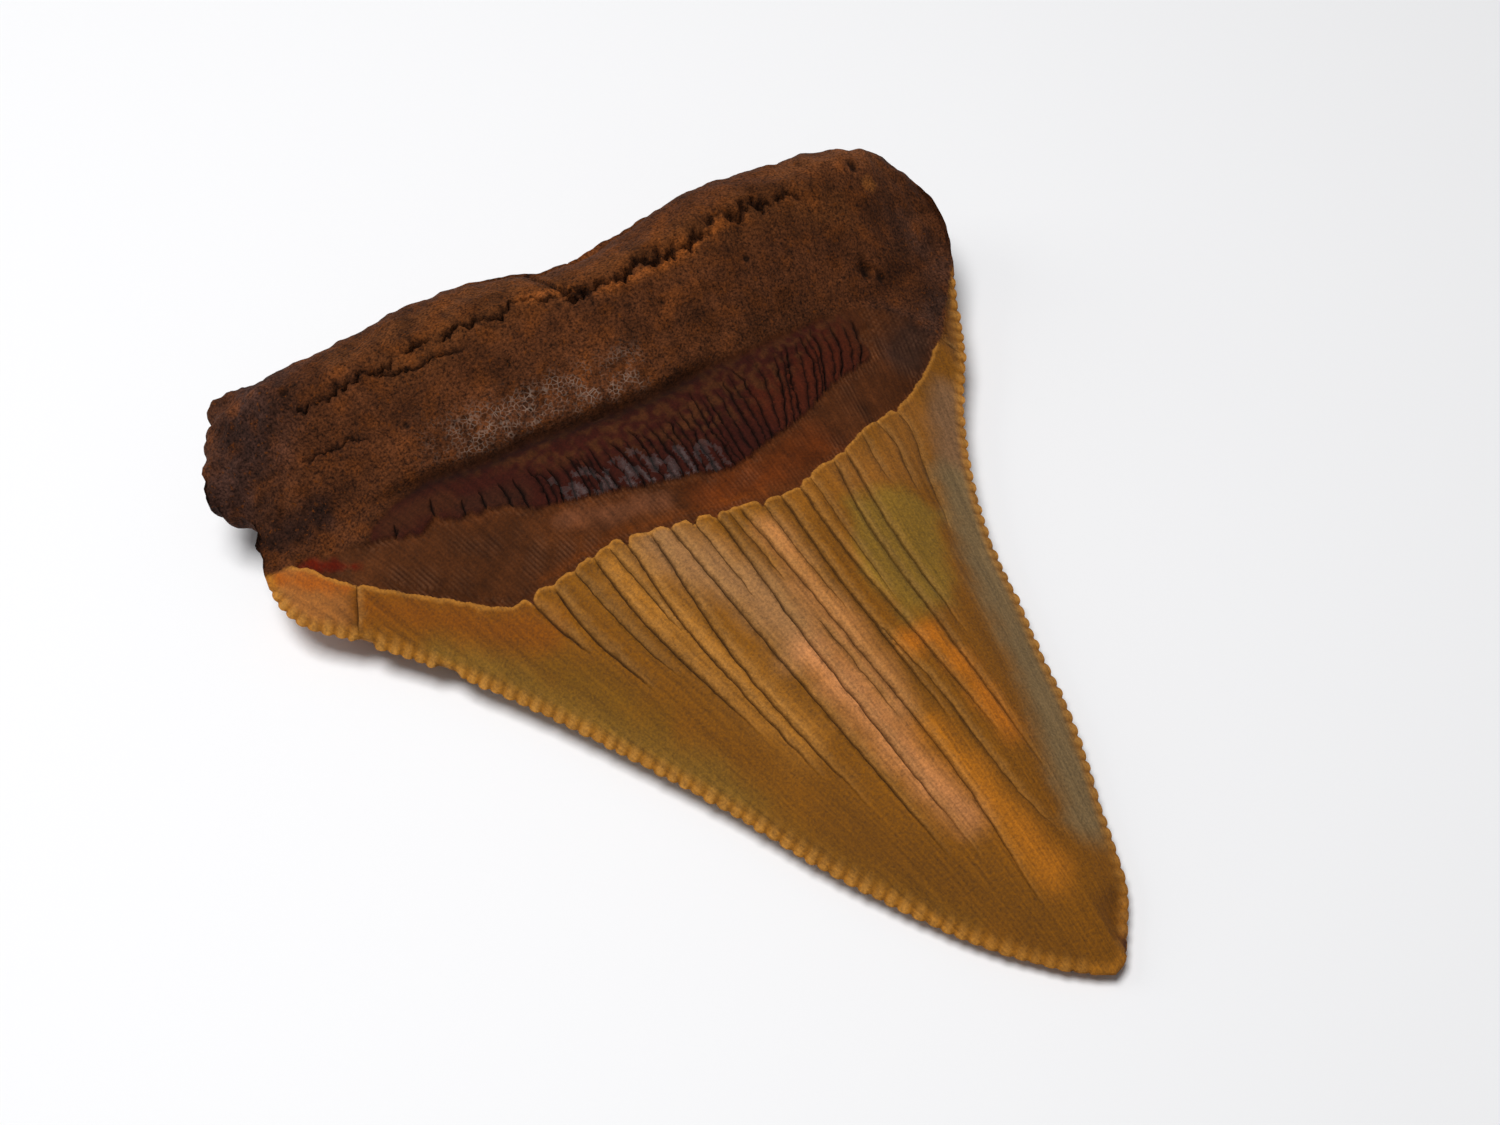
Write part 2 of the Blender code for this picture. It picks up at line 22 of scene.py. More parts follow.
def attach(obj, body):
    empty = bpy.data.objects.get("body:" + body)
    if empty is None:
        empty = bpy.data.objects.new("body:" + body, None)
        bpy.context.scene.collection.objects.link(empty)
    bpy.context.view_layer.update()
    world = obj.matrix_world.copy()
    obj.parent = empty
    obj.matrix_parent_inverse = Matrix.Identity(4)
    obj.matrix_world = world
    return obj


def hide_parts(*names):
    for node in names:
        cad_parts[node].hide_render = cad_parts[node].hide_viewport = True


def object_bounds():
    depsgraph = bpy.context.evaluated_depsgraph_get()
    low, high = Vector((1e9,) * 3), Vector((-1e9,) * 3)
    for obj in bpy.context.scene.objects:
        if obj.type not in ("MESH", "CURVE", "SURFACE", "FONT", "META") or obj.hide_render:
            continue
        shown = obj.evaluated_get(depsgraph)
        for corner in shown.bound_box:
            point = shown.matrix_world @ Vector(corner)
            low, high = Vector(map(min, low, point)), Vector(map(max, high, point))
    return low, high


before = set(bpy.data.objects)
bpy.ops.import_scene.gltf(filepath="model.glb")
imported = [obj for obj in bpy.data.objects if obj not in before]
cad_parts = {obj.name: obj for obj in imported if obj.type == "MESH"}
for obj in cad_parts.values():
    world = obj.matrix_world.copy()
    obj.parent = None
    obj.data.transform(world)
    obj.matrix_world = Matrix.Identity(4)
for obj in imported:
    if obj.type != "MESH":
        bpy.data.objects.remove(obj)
CAD_LOW, CAD_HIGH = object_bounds()

MM = 0.001
# Points measured at a time, which keeps the arrays small
CHUNK = 3000
# Plan points nearer than the first become one, and rim points nearer than the second are welded
MERGE_GAP = 0.012
WELD_GAP = 0.002
Points = tuple[tuple[float, ...], ...]
Span = tuple[float, float]
Measures = dict[str, np.ndarray]
log = logging.getLogger("tooth")


class Mark(Enum):
    """What each point of the tooth tells the material."""

    TINT = "tint"
    ROUGHNESS = "roughness"
    BONE = "bone"
    LACE = "lace"
    FLOW = "flow"
    SURFACE = "surface"


def srgb_to_linear(colour: str) -> np.ndarray:
    """Turn a colour written as on a screen into linear light.

    Args:
        colour: The sRGB colour as #rrggbb.

    Returns:
        Its red, green and blue in linear light.
    """
    channels = np.array([int(colour[place:place + 2], 16) for place in (1, 3, 5)]) / 255
    return np.where(channels <= 0.04045, channels / 12.92, ((channels + 0.055) / 1.055) ** 2.4)


def smoothstep(value: np.ndarray) -> np.ndarray:
    """Give an S-shaped ramp from 0 to 1."""
    value = np.clip(value, 0.0, 1.0)
    return value * value * (3 - 2 * value)


def ramp(value: np.ndarray, start: float, run: float) -> np.ndarray:
    """Give an S-shaped ramp: 0 at its start and 1 a run further on, or back where the run is negative."""
    return smoothstep((value - start) / run)


def hump(value: np.ndarray, width: float) -> np.ndarray:
    """Give a bell that is 1 at 0 and sinks to a third a width away."""
    return np.exp(-(value / width) ** 2)


def smooth_curve(points: Points, step: float = 0.4) -> np.ndarray:
    """Draw a smooth curve through points.

    Args:
        points: The points that the curve passes.
        step: The spacing of the curve's own points.

    Returns:
        The dense points of a Catmull-Rom curve.
    """
    controls = [np.array(point, float) for point in points]
    dense = []
    for index in range(len(controls) - 1):
        b, c = controls[index], controls[index + 1]
        a = controls[index - 1] if index else 2 * b - c
        d = controls[index + 2] if index + 2 < len(controls) else 2 * c - b
        pieces = max(2, math.ceil(np.linalg.norm(c[:2] - b[:2]) / step))
        for t in np.arange(pieces) / pieces:
            dense.append(0.5 * (2 * b + (c - a) * t + (2 * a - 5 * b + 4 * c - d) * t * t
                                + (3 * b - a - 3 * c + d) * t ** 3))
    dense.append(controls[-1])
    return np.array(dense)


def arc_lengths(line: np.ndarray) -> np.ndarray:
    """Give the distance along a line of plan points, from its first point."""
    return np.concatenate([[0.0], np.cumsum(np.linalg.norm(np.diff(line[:, :2], axis=0), axis=1))])


def resample(line: np.ndarray, places: np.ndarray) -> np.ndarray:
    """Give the points at distances along a dense line."""
    lengths = arc_lengths(line)
    return np.stack([np.interp(places, lengths, line[:, axis]) for axis in range(line.shape[1])], axis=1)


def evenly(line: np.ndarray, step: float) -> np.ndarray:
    """Give points along a line at about a spacing, both ends included."""
    total = arc_lengths(line)[-1]
    return resample(line, np.linspace(0.0, total, max(2, round(total / step)) + 1))


def leftward(line: np.ndarray) -> np.ndarray:
    """Give the plan directions to the left of a line at each of its points."""
    ahead = np.gradient(line[:, :2], axis=0)
    ahead /= np.maximum(np.linalg.norm(ahead, axis=1), 1e-9)[:, None]
    return np.stack([-ahead[:, 1], ahead[:, 0]], axis=1)


def beside(line: np.ndarray, offset: float) -> np.ndarray:
    """Give a line's plan points moved to its left by an offset."""
    return line[:, :2] + offset * leftward(line)


def distance_along(points: np.ndarray, line: np.ndarray) -> tuple[np.ndarray, np.ndarray, np.ndarray]:
    """Measure points against a line in the plan.

    Args:
        points: The points to measure.
        line: The dense line.

    Returns:
        Each point's distance to the line, how far along the line its nearest place is, and 1 where it lies
        to the line's left or -1 where it lies to its right.
    """
    start, along = line[:-1, :2], np.diff(line[:, :2], axis=0)
    squared = np.maximum((along ** 2).sum(axis=1), 1e-12)
    places = arc_lengths(line)[:-1]
    gaps = np.empty(len(points))
    where = np.empty(len(points))
    side = np.empty(len(points))
    for first in range(0, len(points), CHUNK):
        part = points[first:first + CHUNK, None, :2] - start
        share = np.clip((part * along).sum(axis=2) / squared, 0.0, 1.0)
        away = ((part - share[..., None] * along) ** 2).sum(axis=2)
        nearest = away.argmin(axis=1)
        rows = np.arange(len(nearest))
        gaps[first:first + CHUNK] = np.sqrt(away[rows, nearest])
        where[first:first + CHUNK] = places[nearest] + share[rows, nearest] * np.sqrt(squared[nearest])
        run, off = along[nearest], part[rows, nearest]
        side[first:first + CHUNK] = np.where(run[:, 0] * off[:, 1] > run[:, 1] * off[:, 0], 1.0, -1.0)
    return gaps, where, side


def distance_to(points: np.ndarray, line: np.ndarray) -> np.ndarray:
    """Give each point's distance to a line in the plan."""
    return distance_along(points, line)[0]


def above(points: np.ndarray, line: np.ndarray) -> np.ndarray:
    """Give the signed distance past a line that runs from left to right, positive on the root's side."""
    height = np.interp(points[:, 0], line[:, 0], line[:, 1])
    return np.where(points[:, 1] > height, 1.0, -1.0) * distance_to(points, line)


@dataclass(frozen=True)
class Grain:
    """Smooth noise of one size: the width and height of its lumps, and which noise it is."""

    width: float
    height: float
    seed: float

    def at(self, points: np.ndarray) -> np.ndarray:
        """Give the noise at plan points, or at points with their heights."""
        depth = points[:, 2] / self.width if points.shape[1] > 2 else np.zeros(len(points))
        return self.height * np.array([noise.noise(Vector((x / self.width, y / self.width, self.seed + z)))
                                       for (x, y), z in zip(points[:, :2], depth)])


def grains_at(points: np.ndarray, grains: tuple[Grain, ...]) -> np.ndarray:
    """Give the sum of some noises at points."""
    return sum(grain.at(points) for grain in grains)


def cells_at(points: np.ndarray, size: float, seed: float) -> np.ndarray:
    """Measure plan points against the walls of a random foam.

    Args:
        points: The points.
        size: The width of one cell of the foam.
        seed: Which foam it is.

    Returns:
        How far each point is from a wall, from 0 on it to about 1.
    """
    walls = np.empty(len(points))
    for number, (x, y) in enumerate(points[:, :2]):
        near, next_near = noise.voronoi(Vector((x / size, y / size, seed)))[0][:2]
        walls[number] = next_near - near
    return walls


def inside_line(points: np.ndarray, ring: np.ndarray) -> np.ndarray:
    """Say which points lie inside a closed ring of plan points."""
    odd = np.zeros(len(points), bool)
    start, end = ring, np.roll(ring, -1, axis=0)
    rise = np.where(end[:, 1] == start[:, 1], 1e-9, end[:, 1] - start[:, 1])
    for first in range(0, len(points), CHUNK):
        x, y = points[first:first + CHUNK, 0, None], points[first:first + CHUNK, 1, None]
        crosses = (start[:, 1] > y) != (end[:, 1] > y)
        at = start[:, 0] + (y - start[:, 1]) / rise * (end[:, 0] - start[:, 0])
        odd[first:first + CHUNK] = (crosses & (x < at)).sum(axis=1) % 2 == 1
    return odd


def lattice(low: tuple[float, float], high: tuple[float, float], step: float) -> np.ndarray:
    """Give the points of a triangular lattice.

    Args:
        low: The lower left corner.
        high: The upper right corner.
        step: The spacing of the points.

    Returns:
        The plan points, row by row.
    """
    rows = []
    for row, y in enumerate(np.arange(low[1], high[1], step * math.sqrt(3) / 2)):
        across = np.arange(low[0] + (row % 2) * step / 2, high[0], step)
        rows.append(np.stack([across, np.full(len(across), y)], axis=1))
    return np.concatenate(rows)


def apart(points: np.ndarray, others: np.ndarray, gap: float) -> np.ndarray:
    """Keep the points that are further than a gap from all others.

    Args:
        points: The points to choose from.
        others: The points to keep clear of.
        gap: The least distance.

    Returns:
        The points that stay.
    """
    tree = kdtree.KDTree(len(others))
    for number, (x, y) in enumerate(others[:, :2]):
        tree.insert((x, y, 0.0), number)
    tree.balance()
    keep = [tree.find((x, y, 0.0))[2] > gap for x, y in points[:, :2]]
    return points[np.array(keep, bool)]


@dataclass
class Outline:
    """The rim that both faces share, with its serrated cutting edges: x, y and the height of the edge."""

    left_edge: Points = (
        (11.5, -31.0, 1.0), (9.7, -30.1, 1.0), (7.8, -28.7, 1.0), (4.3, -25.3, 1.1), (-0.9, -18.5, 1.3),
        (-4.8, -12.3, 1.5), (-9.0, -6.3, 1.7), (-13.4, -0.4, 1.9), (-18.2, 5.1, 2.2), (-22.5, 9.1, 2.6),
        (-24.7, 10.9, 2.9), (-25.8, 13.3, 3.2), (-25.9, 15.4, 3.6),
    )
    right_edge: Points = (
        (12.5, -30.5, 1.0), (13.6, -29.0, 1.0), (15.1, -26.4, 1.1), (16.4, -21.1, 1.2), (17.3, -17.7, 1.3),
        (18.0, -14.1, 1.4), (18.4, -10.3, 1.5), (19.0, -6.4, 1.6), (19.4, -2.4, 1.8), (20.3, 1.6, 2.0),
        (21.6, 5.5, 2.2), (23.3, 9.3, 2.4), (25.5, 13.2, 2.8), (27.1, 17.5, 3.4), (28.2, 20.2, 4.2),
    )
    root_rim: Points = (
        (28.9, 23.2, 5.4), (28.7, 26.1, 6.0), (27.1, 28.8, 6.3), (24.0, 30.4, 6.5), (20.0, 30.8, 6.5),
        (14.5, 30.6, 6.5), (9.0, 29.5, 6.5), (4.0, 27.9, 6.5), (0.2, 27.1, 6.5), (-2.0, 27.2, 6.5),
        (-4.5, 28.1, 6.5), (-8.0, 28.8, 6.5), (-13.0, 28.6, 6.4), (-18.0, 28.1, 6.3), (-21.8, 27.9, 6.2),
        (-24.6, 28.1, 6.1), (-26.0, 26.2, 6.0), (-26.9, 23.8, 5.8), (-27.8, 21.8, 5.4), (-27.1, 20.4, 5.0),
        (-25.7, 18.8, 4.6), (-25.7, 17.0, 4.1),
    )
    # The serrations, or fingers: their spacing, and how far they stand out, run in and rise
    pitch: float = 0.92
    reach: float = 0.26
    finger_length: float = 1.15
    finger_height: float = 0.12
    # The share of a finger that stands where the rim crosses the smooth edge, and how blunt the fingers are
    mean: float = 0.6
    bluntness: float = 2.6
    # How the fingers differ: in spacing, in size, and towards the tip, where they are smallest
    sway: float = 0.07
    unevenness: float = 0.2
    tip_size: float = 0.55
    tip_fade: Span = (1.0, 16.0)
    bare_tip: float = 1.6
    bare_corner: float = 1.2
    # Chips out of the left edge: x, y and radius
    chips: Points = ((-17.2, 4.4, 1.3), (-21.6, 8.3, 0.9))
    chip_depth: float = 0.34
    # The wear of the root's rim, which is deeper at the broken left lobe and fades at the corners
    wear_grains: tuple[Grain, ...] = (Grain(1.5, 0.26, 5.0), Grain(0.6, 0.13, 6.0))
    lobe_wear: float = 1.4
    lobe_span: Span = (-19.0, -4.0)
    corner_fade: float = 2.0
    # The mesh: points to a finger, steps along the plain edges and the root, and the rows behind the rim
    samples: int = 8
    plain_step: float = 0.16
    root_step: float = 0.26
    columns: tuple[float, ...] = (0.1, 0.22, 0.38, 0.58, 0.84, 1.16)
    column_fade: float = 0.7

    def __post_init__(self) -> None:
        """Draw the smooth edges."""
        self.left = smooth_curve(self.left_edge)
        self.right = smooth_curve(self.left_edge[:1] + self.right_edge)
        self.root = smooth_curve(self.right_edge[-1:] + self.root_rim + self.left_edge[-1:])
        self.rim = np.concatenate([self.right, self.root[1:-1], self.left[::-1]])
        self.worn_root = self.root

    def edge_at(self, edge: np.ndarray, y: np.ndarray, axis: int) -> np.ndarray:
        """Give a cutting edge's x or height at each y, held past its ends."""
        return np.interp(y, edge[:, 1], edge[:, axis])

    def fingers(self, edge: np.ndarray, places: np.ndarray) -> tuple[np.ndarray, np.ndarray]:
        """Shape the serrations along a cutting edge.

        Args:
            edge: The edge, from the tip to the corner.
            places: Distances along it from the tip.

        Returns:
            How much of a finger stands at each place, 0 in a notch and 1 on its middle, and each one's size.
        """
        total = arc_lengths(edge)[-1]
        first, last = self.bare_tip, self.bare_corner
        count = round((total - first - last) / self.pitch)
        turn = (places - first) / (total - first - last) * count + self.sway * np.sin(1.3 * places)
        index = np.floor(turn)
        shape = 1 - np.abs(2 * (turn - index) - 1) ** self.bluntness
        size = 1 - self.unevenness + self.unevenness * np.sin(2.4 * index) * np.cos(0.7 * index)
        size *= self.tip_size + (1 - self.tip_size) * ramp(places, *self.tip_fade)
        bare = (places < first) | (places > total - last)
        return np.where(bare, self.mean, shape), np.where(bare, 1.0, size)

    def edge_reach(self, edge: np.ndarray, places: np.ndarray) -> np.ndarray:
        """Give how far the rim stands out from the smooth edge at distances along it."""
        shape, size = self.fingers(edge, places)
        reach = self.reach * (size * shape - self.mean)
        points = resample(edge, places)
        for x, y, radius in self.chips:
            worn = smoothstep(1.5 * (1 - np.hypot(points[:, 0] - x, points[:, 1] - y) / radius))
            reach = (1 - worn) * reach - worn * self.chip_depth
        return reach

    def edge_places(self, edge: np.ndarray) -> np.ndarray:
        """Give the distances along a cutting edge at which the rim has points."""
        total = arc_lengths(edge)[-1]
        count = round((total - self.bare_tip - self.bare_corner) / self.pitch) * self.samples
        tip = np.linspace(0.0, self.bare_tip, round(self.bare_tip / self.plain_step) + 1)[:-1]
        middle = np.linspace(self.bare_tip, total - self.bare_corner, count + 1)[:-1]
        corner = np.linspace(total - self.bare_corner, total, round(self.bare_corner / self.plain_step) + 1)
        return np.concatenate([tip, middle, corner])

    def stretch(self, curve: np.ndarray, places: np.ndarray, reach: np.ndarray,
                side: float) -> tuple[np.ndarray, np.ndarray]:
        """Lay one stretch of the rim and the rows of points behind it.

        Args:
            curve: The smooth edge.
            places: Distances along it.
            reach: How far the rim stands out at each.
            side: 1 where the tooth lies to the left of the curve and -1 where it lies to the right.

        Returns:
            The rim's points with their heights, and the plan points of the rows behind.
        """
        points = resample(curve, places)
        ahead = resample(curve, places + 0.3)[:, :2] - resample(curve, places - 0.3)[:, :2]
        ahead /= np.linalg.norm(ahead, axis=1)[:, None]
        outward = side * np.stack([ahead[:, 1], -ahead[:, 0]], axis=1)
        smooth = points[:, :2].copy()
        points[:, :2] += outward * reach[:, None]
        rows = []
        for offset in self.columns:
            share = 1 - smoothstep(np.array(offset / self.column_fade))
            row = smooth + outward * (reach * share - offset)[:, None]
            rows.append(row[distance_to(row, self.rim) > 0.8 * offset - 0.5 * self.reach])
        return points, np.concatenate(rows)

    def points(self) -> tuple[np.ndarray, np.ndarray]:
        """Lay the whole rim.

        Returns:
            The rim's points with their heights, counter-clockwise from the tip, and the rows behind them.
        """
        right, left = self.edge_places(self.right), self.edge_places(self.left)
        total = arc_lengths(self.root)[-1]
        places = np.linspace(0, total, round(total / self.root_step) + 1)
        root = resample(self.root, places)
        wear = grains_at(root, self.wear_grains)
        wear *= ramp(places, 0.0, self.corner_fade) * ramp(places, total, -self.corner_fade)
        wear *= 1 + self.lobe_wear * ramp(root[:, 0], *self.lobe_span)
        rims, rows = [], []
        for curve, along, reach, side in ((self.right, right, self.edge_reach(self.right, right), 1.0),
                                          (self.root, places, wear, 1.0),
                                          (self.left, left, self.edge_reach(self.left, left), -1.0)):
            rim, row = self.stretch(curve, along, reach, side)
            rims.append(rim if side > 0 else rim[::-1])
            rows.append(row)
        self.worn_root = rims[1]
        return np.concatenate([rim[:-1] for rim in rims]), np.concatenate(rows)

    def inside(self, points: np.ndarray) -> np.ndarray:
        """Give how far points are from the rim, worn as it is along the root."""
        return np.minimum(distance_to(points, self.rim), distance_to(points, self.worn_root))

    def ridges(self, points: np.ndarray) -> tuple[np.ndarray, np.ndarray]:
        """Give the serrations' ridges on a face beside the cutting edges.

        Returns:
            How much of a finger stands at each point, less than 0 in a notch, and how near the edge it is.
        """
        ridge, nearness = np.zeros(len(points)), np.zeros(len(points))
        for edge in (self.left, self.right):
            gap, place, _ = distance_along(points, edge)
            shape, size = self.fingers(edge, place)
            near = 1 - smoothstep(gap / self.finger_length)
            ridge += (shape - self.mean) * size * near
            nearness = np.maximum(nearness, near)
        return ridge, nearness

    def keep_inside(self, points: np.ndarray, margin: float) -> np.ndarray:
        """Keep the points that are inside the rim and further from it than a margin."""
        points = points[inside_line(points, self.rim[:, :2])]
        return points[distance_to(points, self.rim) > margin]

    def lay(self, cracks: list["Crack"], rows: np.ndarray, fills: list[tuple[np.ndarray, float]],
            margin: float) -> tuple[list[np.ndarray], np.ndarray]:
        """Lay the plan points of a face inside the rim.

        Args:
            cracks: The face's cracks.
            rows: The rows of points behind the rim.
            fills: The points of each zone, and the gap that they keep to the points before them.
            margin: How far cracks stay from the rim.

        Returns:
            The lines that stay edges of the mesh, and all loose points.
        """
        lines, banks = [], []
        for crack in cracks:
            middle, *sides = crack.rows()
            lines.append(self.keep_inside(middle, margin))
            banks += [self.keep_inside(side, margin) for side in sides]
        loose = np.concatenate([apart(np.concatenate(banks), np.concatenate(lines), 0.05), rows])
        taken = np.concatenate(lines + [loose])
        for points, gap in fills:
            points = apart(points, taken, gap)
            taken = np.concatenate([taken, points])
            loose = np.concatenate([loose, points])
        return lines, loose


@dataclass
class Wear:
    """What cracks did to a face: their depth, the dark in them, the painted highlight on their banks and the
    tone beside them.
    """

    depth: np.ndarray
    dark: np.ndarray
    bank: np.ndarray
    tone: np.ndarray

    @classmethod
    def none(cls, count: int) -> "Wear":
        """Give the wear of a face with no cracks yet."""
        return cls(*(np.zeros(count) for _ in range(4)))


@dataclass
class Crack:
    """One crack along a line, wandering a little, open at its start and closing towards its end.

    The shoulder is the soft hollow around it, the lift raises the face on its left, and a patchy crack opens
    and shuts along its way.
    """

    course: Points
    width: float = 0.2
    depth: float = 0.22
    shoulder: float = 0.07
    wander: float = 0.05
    ragged: float = 0.25
    lift: float = 0.0
    patchy: float = 0.0
    step: float = 0.26
    open_end: bool = False
    shoulder_width: float = 0.3
    lift_width: float = 1.1
    # The width of the painted highlight on one bank
    painted_bank_highlight_width: float = 0.12
    tone_width: float = 0.7
    sample: float = 0.13
    line: np.ndarray = field(init=False)

    def __post_init__(self) -> None:
        """Draw the wandering line."""
        dense = evenly(smooth_curve(self.course), self.sample)
        seed = 7.3 * self.course[0][0] + self.course[0][1]
        places = np.stack([arc_lengths(dense), np.zeros(len(dense))], axis=1)
        sway = grains_at(places, (Grain(1.1, 1.0, seed), Grain(0.4, 0.5, seed + 9),
                                  Grain(0.22, 1.2 * self.ragged, seed + 17)))
        self.line = dense[:, :2] + (self.wander * sway)[:, None] * leftward(dense)
        self.total = arc_lengths(self.line)[-1]
        self.tone = 0.16 * math.sin(5.1 * seed)

    def opening(self, places: np.ndarray) -> np.ndarray:
        """Give how open the crack is at distances along it, from 0 to 1."""
        end = np.clip((self.total - places) / (0.3 * self.total), 0.0, 1.0) ** 0.6
        start = 0.55 + 0.45 * ramp(places, 0.0, 0.6)
        way = np.maximum(end, 0.9 * self.open_end) * start
        along = np.stack([places, np.full(len(places), self.total)], axis=1)
        return way * (1 - self.patchy * smoothstep(0.4 + Grain(1.7, 1.5, 23.0).at(along)))

    def cut(self, points: np.ndarray, share: np.ndarray, wear: Wear) -> None:
        """Cut the crack into a face.

        Args:
            points: The face's plan points.
            share: How much of the crack each point may show, from 0 to 1.
            wear: What the face's cracks did so far, to which this one adds.
        """
        margin = 2.0 + self.width
        low, high = self.line.min(axis=0) - margin, self.line.max(axis=0) + margin
        near = ((points > low) & (points < high)).all(axis=1)
        if not near.any():
            return
        gap, place, side = distance_along(points[near], self.line)
        way = self.opening(place) * share[near]
        frayed = 1 + Grain(0.4, 1.4 * self.ragged, 19.0).at(points[near])
        half = np.maximum(0.5 * self.width * (0.45 + 0.55 * way) * frayed, 0.02)
        wear.depth[near] += way * (self.depth * np.clip(1 - gap / half, 0.0, 1.0) ** 0.8
                                   + self.shoulder * hump(gap, self.shoulder_width))
        wear.depth[near] -= self.lift * way * (side > 0) * np.exp(-gap / self.lift_width)
        dark = np.minimum(1.0, 1.3 * way) * np.clip(1.1 - (gap / (1.1 * half)) ** 2, 0.0, 1.0)
        # Painted highlight: a paler line along one bank of the crack
        bank = way * hump(gap * side - half - 0.1, self.painted_bank_highlight_width)
        wear.dark[near] = np.maximum(wear.dark[near], np.minimum(dark, 1.0))
        wear.bank[near] = np.maximum(wear.bank[near], bank)
        wear.tone[near] += self.tone * side * way * np.exp(-gap / self.tone_width)

    def rows(self) -> list[np.ndarray]:
        """Give the lines of points that the mesh has along the crack."""
        middle = evenly(self.line, self.step)
        half = 0.5 * self.width
        return [middle] + [beside(middle, offset) for offset in (half, -half, half + 0.2, -half - 0.2)]


@dataclass(frozen=True)
class Stain:
    """A patch of colour laid over a finish, mostly where minerals coloured the fossil, with some painted
    sheen: a line or a closed patch with soft or crisp borders.
    """

    colour: str
    course: Points
    radius: float
    softness: float
    strength: float = 1.0
    patch: bool = False

    def paint(self, points: np.ndarray, tint: np.ndarray, ragged: np.ndarray) -> np.ndarray:
        """Lay the stain over the colours so far.

        Args:
            points: The plan points.
            tint: Their linear colours so far.
            ragged: Noise that frays the stain's border, in mm.

        Returns:
            The new linear colours.
        """
        line = np.array(self.course + (self.course[:1] if self.patch else ()), float)
        gap = distance_to(points, line)
        if self.patch:
            gap = np.where(inside_line(points, line[:-1]), -gap, gap)
        share = self.strength * smoothstep(0.5 + (self.radius - gap + ragged) / self.softness)
        return tint + share[:, None] * (srgb_to_linear(self.colour) - tint)


@dataclass(frozen=True)
class Enamel:
    """River-stained fossil enamel, worn smooth: a satin sheen broken by fine grain."""

    colour: str = "#7e4c04"
    # Painted highlight along the enamel's edge by the dentine
    lip: str = "#b87a2c"
    crack: str = "#3c2506"
    # Painted highlight on one bank of each crack
    bank: str = "#b8884c"
    finger: str = "#a86a18"
    # The fingers' tops get a painted highlight, and the notches between them painted shade
    painted_finger_highlight: str = "#cc9448"
    notch: str = "#74480f"
    broken: str = "#3c1a10"
    roughness: float = 0.38
    grain: float = 0.17


@dataclass(frozen=True)
class Dentine:
    """The root-side band under the missing enamel: fine striae in dark blotches, half matt."""

    colour: str = "#50280d"
    furrow: str = "#2c1206"
    # Painted glint on the striae's crests
    ridge: str = "#7a543c"
    drawn: Grain = Grain(2.1, 1.2, 79.0)
    blotches: tuple[Grain, ...] = (Grain(2.0, 0.35, 83.0), Grain(0.7, 0.28, 85.0))
    roughness: float = 0.48


@dataclass(frozen=True)
class Plates:
    """The bourlette's cracked plates: dark wine-red and glossy, as if wet."""

    colour: str = "#36130b"
    crumb: str = "#4a2812"
    crack: str = "#0e0503"
    mottle: Grain = Grain(0.55, 1.8, 75.0)
    roughness: float = 0.5
    wet_roughness: float = 0.15


@dataclass(frozen=True)
class Bone:
    """Porous fossil bone: matt, dark brown, with rusty grains in its pores."""

    colour: str = "#4e2a14"
    pore: str = "#1e0f06"
    rust: str = "#66340e"
    # The dark of the painted shadow under the root's lip, also laid in the bone's cracks
    lip: str = "#160803"
    # Painted glint on the walls of the lacy bone
    glint: str = "#9a8272"
    rusting: Grain = Grain(1.3, 1.6, 77.0)
    mottle: tuple[Grain, ...] = (Grain(3.1, 0.5, 81.0), Grain(1.1, 0.35, 82.0))
    roughness: float = 0.72
    lace_roughness: float = 0.3
    grain: float = 0.3
    bump: float = 0.09


